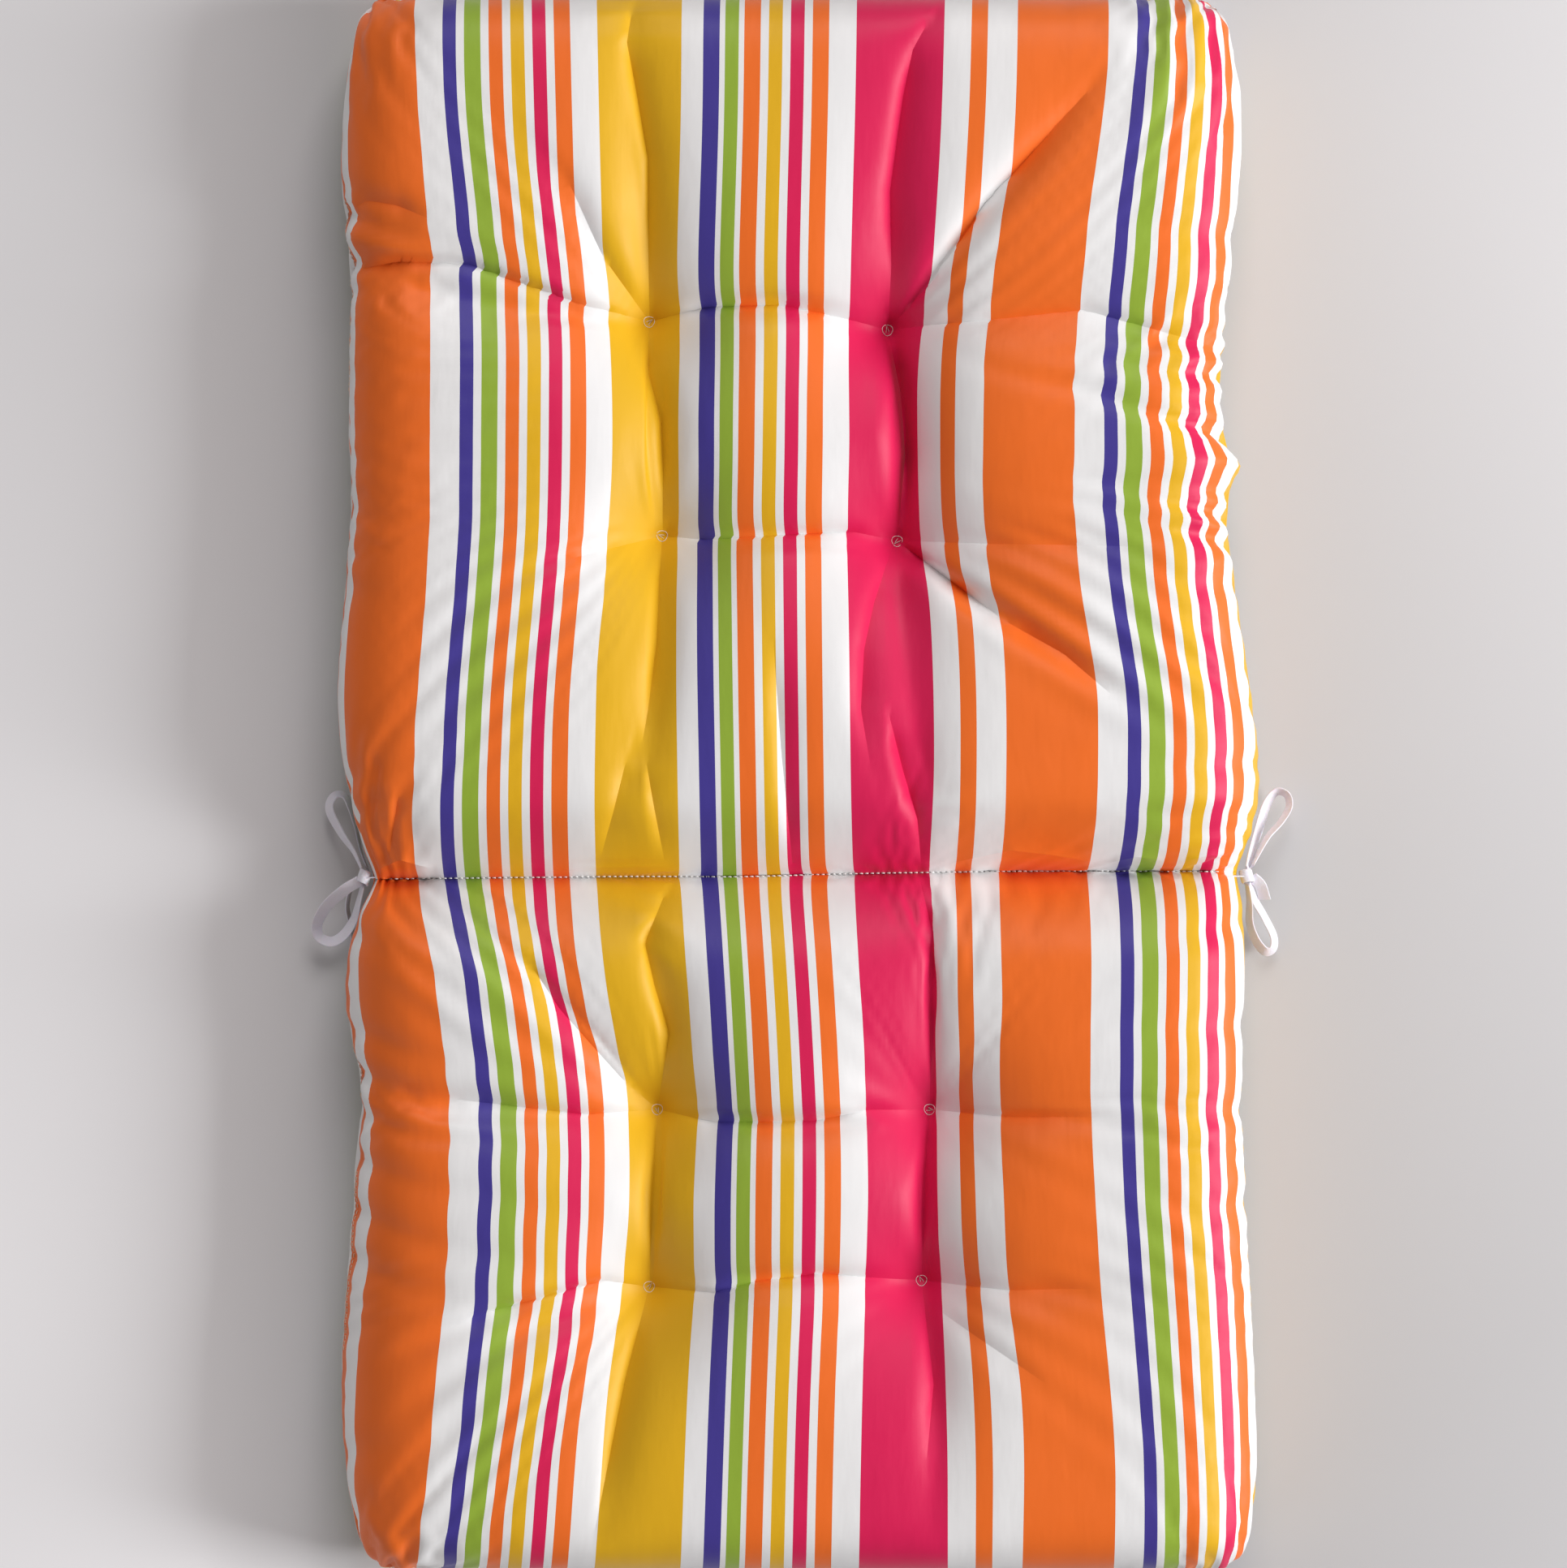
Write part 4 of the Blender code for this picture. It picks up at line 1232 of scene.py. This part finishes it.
def outward(grid):
    """The way out from the middle of the cover at each point of a grid, seen from above."""
    way = np.zeros_like(grid)
    way[:, 0, 0], way[:, -1, 0] = -1, 1
    way[0, :, 1], way[-1, :, 1] = -1, 1
    return way / np.maximum(np.linalg.norm(way, axis=-1, keepdims=True), 1)


def draw_seam_in(front, back):
    """Pull the rim of the cover in and let the cloth beside it swell a little."""
    along = front[..., 1] + SEAM_SLANT * front[..., 0]
    waves = np.sin(along / SHORT_WAVE) * np.sin(along / LONG_WAVE + WAVE_SHIFT)
    uneven = 1 + UNEVENNESS * waves
    front -= outward(front) * (SEAM_GROOVE * uneven)[..., None]
    for grid in (front, back):
        grid[1:-1, 1:-1] += outward(grid[1:-1, 1:-1]) * SEAM_SWELL
    back[[0, -1], :] = front[[0, -1], ::2]
    back[:, [0, -1]] = front[::2, [0, -1]]


def mark_sharp(mesh, pairs, index):
    """Mark the edges between pairs of front grid places as sharp."""
    wanted = {tuple(sorted((int(index[a]), int(index[b])))) for a, b in pairs}
    sharp = [tuple(sorted(key)) in wanted for key in mesh.edge_keys]
    mesh.attributes.new("sharp_edge", "BOOLEAN", "EDGE").data.foreach_set("value", sharp)
    return sum(sharp)


draw_seam_in(fine_front, fine_back)
fine_layout = cover_layout(FINE_ROWS, FINE_COLUMNS, split_quads)
cushion.data = cover_mesh("striped_cushion", fine_front, fine_back, fine_place, fine_layout)
bpy.data.meshes.remove(coarse_mesh)
print("sharp edges:", mark_sharp(cushion.data, sharp_pairs, fine_layout[0]))
print("cover now:", len(cushion.data.vertices), "points,", len(cushion.data.polygons), "faces")

# %% Sew it
THREAD_RADIUS, FOLD_THREAD, CLOSING_THREAD, TUFT_THREAD = 0.32, 0.42, 0.28, 0.2
THREAD_SIDES, TAPERED_END = 6, 0.55
SURFACE_LIFT, FOLD_LIFT, RING_LIFT, PASS_LIFT, END_DIP = 0.3, 1.2, 0.1, 0.15, -0.5
FOLD_STITCH_ENDS = (-258, 260)
STITCH_PITCH, STITCH_LENGTH = 3.4, 2.3
STITCH_END, STITCH_BOW = 0.3, 0.1
STITCH_WAVER, WAVER_LENGTH = 0.2, 23.0
RING_RADIUS, RING_POINTS, RING_WOBBLE = 3.3, 29, 0.05
FRONT_TURN, BACK_TURN = (0.6, 1.1), (0.2, 1.4)
CROSSED_PASSES = [(-2.4, -1.2), (0, -0.7), (2.5, 0.1), (0, 0.7), (-2.2, 1.4)]
CLOSING_RUNS = [(360, 244), (-160, -194), (-240, -352)]
CLOSING_ROWS = (2.2, 4.8)
CLOSING_STITCH = [(0, -0.4), (0.35, 0.25), (1.2, 0.35), (2.05, 0.25), (2.4, -0.4)]
HAIR_NOISE, THREAD_FADE_NOISE, DARKEST_FIBRE = Noise(2600, 2.0), Noise(300, 2.0), 0.82
RAY_START_ABOVE, RAY_START_BELOW = 0.3, -0.2
ACROSS_ALL_THREADS = Vector((0.31, 0.17, 0.93))
cover_tree = BVHTree.FromPolygons(
    [vertex.co for vertex in cushion.data.vertices],
    [polygon.vertices for polygon in cushion.data.polygons],
)


def height_of_cover(x, y, from_above):
    """The height in mm of the front or the back face of the finished cover at a place."""
    start, way = (RAY_START_ABOVE, -1) if from_above else (RAY_START_BELOW, 1)
    hit = cover_tree.ray_cast(Vector((x * MM, y * MM, start)), Vector((0, 0, way)))[0]
    return hit.z / MM


def add_thread(bm, places, radius=THREAD_RADIUS):
    """A round thread along its places in mm, which tapers where it goes into the cloth."""
    places = np.array(places, float)
    forward = np.gradient(places, axis=0)
    rings = []
    for number, (place, way) in enumerate(zip(places, forward)):
        way = Vector(way).normalized()
        side = way.cross(ACROSS_ALL_THREADS).normalized()
        other = way.cross(side)
        size = radius * (TAPERED_END if number in (0, len(places) - 1) else 1)
        ring = []
        for turn in np.arange(THREAD_SIDES) * 2 * math.pi / THREAD_SIDES:
            offset = side * math.cos(turn) * size + other * math.sin(turn) * size
            ring.append(bm.verts.new((Vector(place) + offset) * MM))
        rings.append(ring)
    for low, high in zip(rings, rings[1:]):
        for n in range(THREAD_SIDES):
            m = (n + 1) % THREAD_SIDES
            bm.faces.new([low[n], low[m], high[m], high[n]]).smooth = True
    bm.faces.new(rings[0][::-1])
    bm.faces.new(rings[-1])


def surface_thread(bm, line, from_above=True, lift=SURFACE_LIFT, radius=THREAD_RADIUS):
    """A thread over the cover along a line of places seen from above; its ends dip in."""
    sign = 1 if from_above else -1
    places = []
    for number, (x, y) in enumerate(line):
        dip = END_DIP if number in (0, len(line) - 1) else lift
        places.append((x, y, height_of_cover(x, y, from_above) + sign * dip))
    add_thread(bm, places, radius)


def sew_fold(bm):
    """The running stitch along the fold, front and back."""
    count = int((FOLD_STITCH_ENDS[1] - FOLD_STITCH_ENDS[0]) / STITCH_PITCH)
    for number in range(count):
        x = FOLD_STITCH_ENDS[0] + number * STITCH_PITCH
        y = FOLD_Y + np.interp(x, *zip(*FOLD_SWAY)) + STITCH_WAVER * math.sin(x / WAVER_LENGTH)
        line = [(x, y), (x + STITCH_END, y), (x + STITCH_LENGTH / 2, y + STITCH_BOW)]
        line += [(x + STITCH_LENGTH - STITCH_END, y), (x + STITCH_LENGTH, y)]
        surface_thread(bm, line, lift=FOLD_LIFT, radius=FOLD_THREAD)
        surface_thread(bm, line, from_above=False)
    return count


def sew_tuft(bm, tuft, turned, from_above):
    """One tuft: a ring of thread with a few passes back and forth across it."""
    ring = []
    for turn in np.linspace(0, 2 * math.pi, RING_POINTS) + turned:
        radius = RING_RADIUS * (1 + RING_WOBBLE * math.sin(3 * turn))
        ring.append((tuft.x + radius * math.cos(turn), tuft.y + radius * math.sin(turn)))
    surface_thread(bm, ring, from_above, lift=RING_LIFT, radius=TUFT_THREAD)
    c, s = math.cos(turned), math.sin(turned)
    crossed = [(tuft.x + a * c - b * s, tuft.y + a * s + b * c) for a, b in CROSSED_PASSES]
    surface_thread(bm, crossed, from_above, lift=PASS_LIFT, radius=TUFT_THREAD)


def cloth_point(across, along):
    """Where a place on the flat cloth lies on the front of the settled cover, in mm."""
    grid = settled_front
    column = np.interp(across, column_across, np.arange(COLUMNS + 1))
    row = np.interp(along, row_along, np.arange(ROWS + 1))
    c, r = min(int(column), COLUMNS - 1), min(int(row), ROWS - 1)
    s, t = column - c, row - r
    low = grid[r, c] * (1 - s) + grid[r, c + 1] * s
    high = grid[r + 1, c] * (1 - s) + grid[r + 1, c + 1] * s
    return low * (1 - t) + high * t


def sew_closing(bm):
    """The double row of stitches that closes the cover beside its left seam."""
    count = 0
    for top, bottom in CLOSING_RUNS:
        for y in np.arange(bottom, top, STITCH_PITCH):
            for inside in CLOSING_ROWS:
                places = []
                for step, lift in CLOSING_STITCH:
                    along = np.interp(y + step, row_y, row_along)
                    near = Vector(cloth_point(LEFT_SEAM + inside, along)) * MM
                    spot, normal = cover_tree.find_nearest(near)[:2]
                    places.append((spot + normal * lift * MM) / MM)
                add_thread(bm, places, CLOSING_THREAD)
                count += 1
    return count


def make_thread(name, colour):
    """Spun thread, a little hairy and matt."""
    material, tree, shader = new_material(name)
    place = object_place(tree)
    add_bump(tree, shader, [(noise_value(tree, place, HAIR_NOISE), 0.12 * MM, 0.5)])
    ramp = new_node(tree, "ValToRGB", {"Fac": noise_value(tree, place, THREAD_FADE_NOISE)})
    for element, share in zip(ramp.color_ramp.elements, (DARKEST_FIBRE, 1)):
        element.color = (*[share * c for c in srgb(*colour)], 1)
    looks = {"Base Color": ramp.outputs["Color"], "Roughness": 0.7, "Sheen Weight": 0.3}
    set_inputs(tree, shader, looks)
    return material


def sewing_piece(name, bm, material):
    """Thread as a piece of the model that goes with the cushion."""
    piece = piece_from(name, bm, material)
    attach(piece, "root")


bm = bmesh.new()
print("stitches in the fold:", sew_fold(bm))
for number, tuft in enumerate(TUFTS.values()):
    for (first, step), from_above in ((FRONT_TURN, True), (BACK_TURN, False)):
        sew_tuft(bm, tuft, first + step * number, from_above)
sewing_piece("fold_and_tuft_stitches", bm, make_thread("white_thread", (250, 247, 244)))
bm = bmesh.new()
print("closing stitches:", sew_closing(bm))
sewing_piece("closing_stitches", bm, make_thread("cream_thread", (240, 226, 204)))

# %% [markdown]
# ## The ties
# Each tie is one length of white cotton tape, sewn into the seam at the end of the fold and tied
# in a bow. A tape bends easily over its flat side and hardly at all over its edge, so each loop
# is a strip carried along a curve, with its own lean from upright. A few turns of the same tape
# make the knot.

# %% Make the white tape
TAPE_WIDTH = 8.0
TAPE_THICK = 0.9
TWILL_PITCH = 0.9
WORN_NOISE = Noise(900, 3.0)


def make_white_tape():
    """White cotton tape: a fine herringbone of slanted ribs, a little worn."""
    material, tree, shader = new_material("white_tape")
    _, across, along = cloth_place(tree, "tape")
    slant = math_node(tree, "ADD", math_node(tree, "ABSOLUTE", across), along)
    turns = math_node(tree, "MULTIPLY", slant, 2 * math.pi / (TWILL_PITCH * MM))
    ribs = math_node(tree, "SINE", turns)
    worn = noise_value(tree, object_place(tree), WORN_NOISE)
    # These depths are far beyond the real ones, so the strength alone sets how far the ribs tilt.
    add_bump(tree, shader, [(ribs, 0.10, 0.12), (worn, 0.08, 0.15)])
    looks = {"Base Color": (*srgb(238, 236, 246), 1), "Roughness": 0.8, "Sheen Weight": 0.3}
    looks.update({"Subsurface Weight": 0.1, "Subsurface Scale": 0.001})
    set_inputs(tree, shader, looks)
    return material


white_tape = make_white_tape()
print("tape:", TAPE_WIDTH, "mm wide")

# %% Tie the bows
TapePoint = namedtuple("TapePoint", "x y z lean")
LEFT_RUNS = {
    "upper_loop": [
        TapePoint(-274.5, -54.5, 42, 10), TapePoint(-281, -42, 31, 20), TapePoint(-290, -30, 19, 35),
        TapePoint(-297.2, -16, 14, 42), TapePoint(-294.5, -7.5, 13, 35), TapePoint(-288, -7.2, 13, 25),
        TapePoint(-284, -15, 14, 20), TapePoint(-280.5, -27, 15, 12), TapePoint(-277, -41, 24, 5),
        TapePoint(-271.8, -53.5, 38, 0),
    ],
    "lower_loop": [
        TapePoint(-276, -60, 43, 55), TapePoint(-286, -66, 39, 60), TapePoint(-298, -76.5, 29, 58),
        TapePoint(-304.5, -88, 20, 52), TapePoint(-303, -96, 16, 48), TapePoint(-295.5, -98.8, 15, 50),
        TapePoint(-287.5, -94, 17, 50), TapePoint(-281, -84, 22, 40), TapePoint(-277.5, -73, 33, 25),
        TapePoint(-274.5, -62.5, 41, 20),
    ],
    "free_end": [
        TapePoint(-276.5, -57.5, 40, 10), TapePoint(-283, -66, 27, 10), TapePoint(-286, -78, 11, 12),
        TapePoint(-283.5, -91, 6.5, 15), TapePoint(-282, -103, 6, 18),
    ],
    "root": [
        TapePoint(-273.4, -58.5, 43, 0), TapePoint(-269, -58.2, 43.5, 0), TapePoint(-262, -57.6, 44.5, 0),
    ],
}
RIGHT_RUNS = {
    "upper_loop": [
        TapePoint(275.8, -53.5, 42, -20), TapePoint(279.5, -42, 33, -35), TapePoint(285.5, -27, 17, -48),
        TapePoint(290.5, -12.5, 13, -45), TapePoint(296.5, -4.8, 13, -35), TapePoint(303, -7, 14, -28),
        TapePoint(304.2, -14.5, 15, -25), TapePoint(299, -23.5, 17, -22), TapePoint(289.5, -34, 25, -18),
        TapePoint(278.5, -52, 40, -10),
    ],
    "lower_loop": [
        TapePoint(276, -61, 42, -10), TapePoint(278.3, -74, 31, -20), TapePoint(279.5, -87, 17, -30),
        TapePoint(283.5, -98, 13, -38), TapePoint(289.5, -105, 12, -42), TapePoint(294.5, -103, 12, -38),
        TapePoint(294.5, -95, 14, -35), TapePoint(288, -82.5, 21, -35), TapePoint(281.5, -72, 32, -35),
        TapePoint(277.5, -60.5, 41, -25),
    ],
    "free_end": [
        TapePoint(278.8, -57.5, 42, -55), TapePoint(284.5, -63, 38, -60), TapePoint(288, -72, 30, -60),
    ],
    "root": [
        TapePoint(275.6, -57.5, 43, 0), TapePoint(271, -57.4, 43.5, 0), TapePoint(264, -57.2, 44.5, 0),
    ],
}
Knot = namedtuple("Knot", "x y z half_width half_height tilt")
LEFT_KNOT = Knot(-273.6, -58.3, 43, 3.3, 3.6, 18)
RIGHT_KNOT = Knot(275.8, -57.6, 43, 3.3, 3.6, -15)
KNOT_TURNS, KNOT_STEPS = 1.6, 40
KNOT_GROWTH, KNOT_SWAY, SWAY_RATE = 0.14, 0.9, 0.9
STEPS_PER_POINT = 7
TAPE_PROFILE = [
    (-1, 0), (-0.97, -0.8), (-0.85, -1), (0.85, -1), (0.97, -0.8),
    (1, 0), (0.97, 0.8), (0.85, 1), (-0.85, 1), (-0.97, 0.8),
]


def smooth_run(points):
    """Places in mm and leans in degrees along one smooth curve through the points of a run."""
    values = np.array([(p.x, p.y, p.z, p.lean) for p in points], float)
    padded = np.vstack([2 * values[0] - values[1], values, 2 * values[-1] - values[-2]])
    run = []
    for at in range(1, len(padded) - 2):
        before, start, end, after = padded[at - 1 : at + 3]
        for t in np.arange(STEPS_PER_POINT) / STEPS_PER_POINT:
            run.append(
                0.5 * (2 * start + (end - before) * t)
                + 0.5 * (2 * before - 5 * start + 4 * end - after) * t**2
                + 0.5 * (3 * start - before - 3 * end + after) * t**3
            )
    return np.array(run + [values[-1]])


def leaning_frames(run):
    """Each place of a run with the directions of the tape's width and thickness there."""
    forward = np.gradient(run[:, :3], axis=0)
    forward /= np.linalg.norm(forward, axis=1)[:, None]
    sideways = np.cross(forward, (0, 0, 1))
    sideways /= np.linalg.norm(sideways, axis=1)[:, None]
    upright = np.cross(sideways, forward)
    lean = np.radians(run[:, 3])[:, None]
    wide = upright * np.cos(lean) + sideways * np.sin(lean)
    return run[:, :3], wide, np.cross(forward, wide)


def knot_frames(knot):
    """The turns of tape round a knot, as places with width and thickness directions."""
    turn = np.linspace(0, 2 * math.pi * KNOT_TURNS, KNOT_STEPS)
    tilt = math.radians(knot.tilt)
    axis = np.array([math.sin(tilt), math.cos(tilt), 0])
    side = np.array([math.cos(tilt), -math.sin(tilt), 0])
    up = np.array([0.0, 0.0, 1.0])
    grow = 1 + KNOT_GROWTH * turn / turn[-1]
    sway = KNOT_SWAY * np.sin(turn * SWAY_RATE)
    out = side * np.cos(turn)[:, None] + up * np.sin(turn)[:, None]
    places = np.array([knot.x, knot.y, knot.z]) + axis * sway[:, None]
    places = places + side * (knot.half_width * grow * np.cos(turn))[:, None]
    places = places + up * (knot.half_height * grow * np.sin(turn))[:, None]
    return places, np.repeat(axis[None, :], KNOT_STEPS, axis=0), out


def add_strip(bm, uv_layer, places, wide, thick):
    """One closed strip of tape along its places, with its own place on the tape as UV."""
    run_length = np.concatenate([[0], np.cumsum(np.linalg.norm(np.diff(places, axis=0), axis=1))])
    rings = []
    for place, w, t in zip(places, wide, thick):
        rings.append([
            bm.verts.new((place + w * a * TAPE_WIDTH / 2 + t * b * TAPE_THICK / 2) * MM)
            for a, b in TAPE_PROFILE
        ])
    count = len(TAPE_PROFILE)
    for at in range(len(rings) - 1):
        for n in range(count):
            m = (n + 1) % count
            face = bm.faces.new([rings[at][n], rings[at][m], rings[at + 1][m], rings[at + 1][n]])
            face.smooth = True
            corners = [(n, at), (m, at), (m, at + 1), (n, at + 1)]
            for loop, (corner, row) in zip(face.loops, corners):
                across = TAPE_PROFILE[corner][0] * TAPE_WIDTH / 2
                loop[uv_layer].uv = (across * MM, run_length[row] * MM)
    bm.faces.new(rings[0][::-1])
    bm.faces.new(rings[-1])
    return run_length[-1]


def tie_bow(name, knot, runs):
    """A whole tie of tape: its runs and the turns of its knot. Returns it and its length."""
    bm = bmesh.new()
    uv_layer = bm.loops.layers.uv.new("tape")
    length = 0
    for points in runs.values():
        length += add_strip(bm, uv_layer, *leaning_frames(smooth_run(points)))
    length += add_strip(bm, uv_layer, *knot_frames(knot))
    return piece_from(name, bm, white_tape), length


for name, knot, runs in (("left", LEFT_KNOT, LEFT_RUNS), ("right", RIGHT_KNOT, RIGHT_RUNS)):
    tie, tape_length = tie_bow(f"{name}_bow", knot, runs)
    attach(tie, "root")
    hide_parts(f"tie_{name}")
    print(name, "tie: tape", round(tape_length), "mm long")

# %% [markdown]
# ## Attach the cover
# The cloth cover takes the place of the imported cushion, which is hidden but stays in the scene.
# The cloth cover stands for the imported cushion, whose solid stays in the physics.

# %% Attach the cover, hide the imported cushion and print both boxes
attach(cushion, "root")
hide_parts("cushion")
visual_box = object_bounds()
boxes = {"cad": [list(corner) for corner in cad_box], "visual": [list(corner) for corner in visual_box]}
for name, box in boxes.items():
    print(name, "box, mm:", [[round(value / MM, 1) for value in corner] for corner in box])
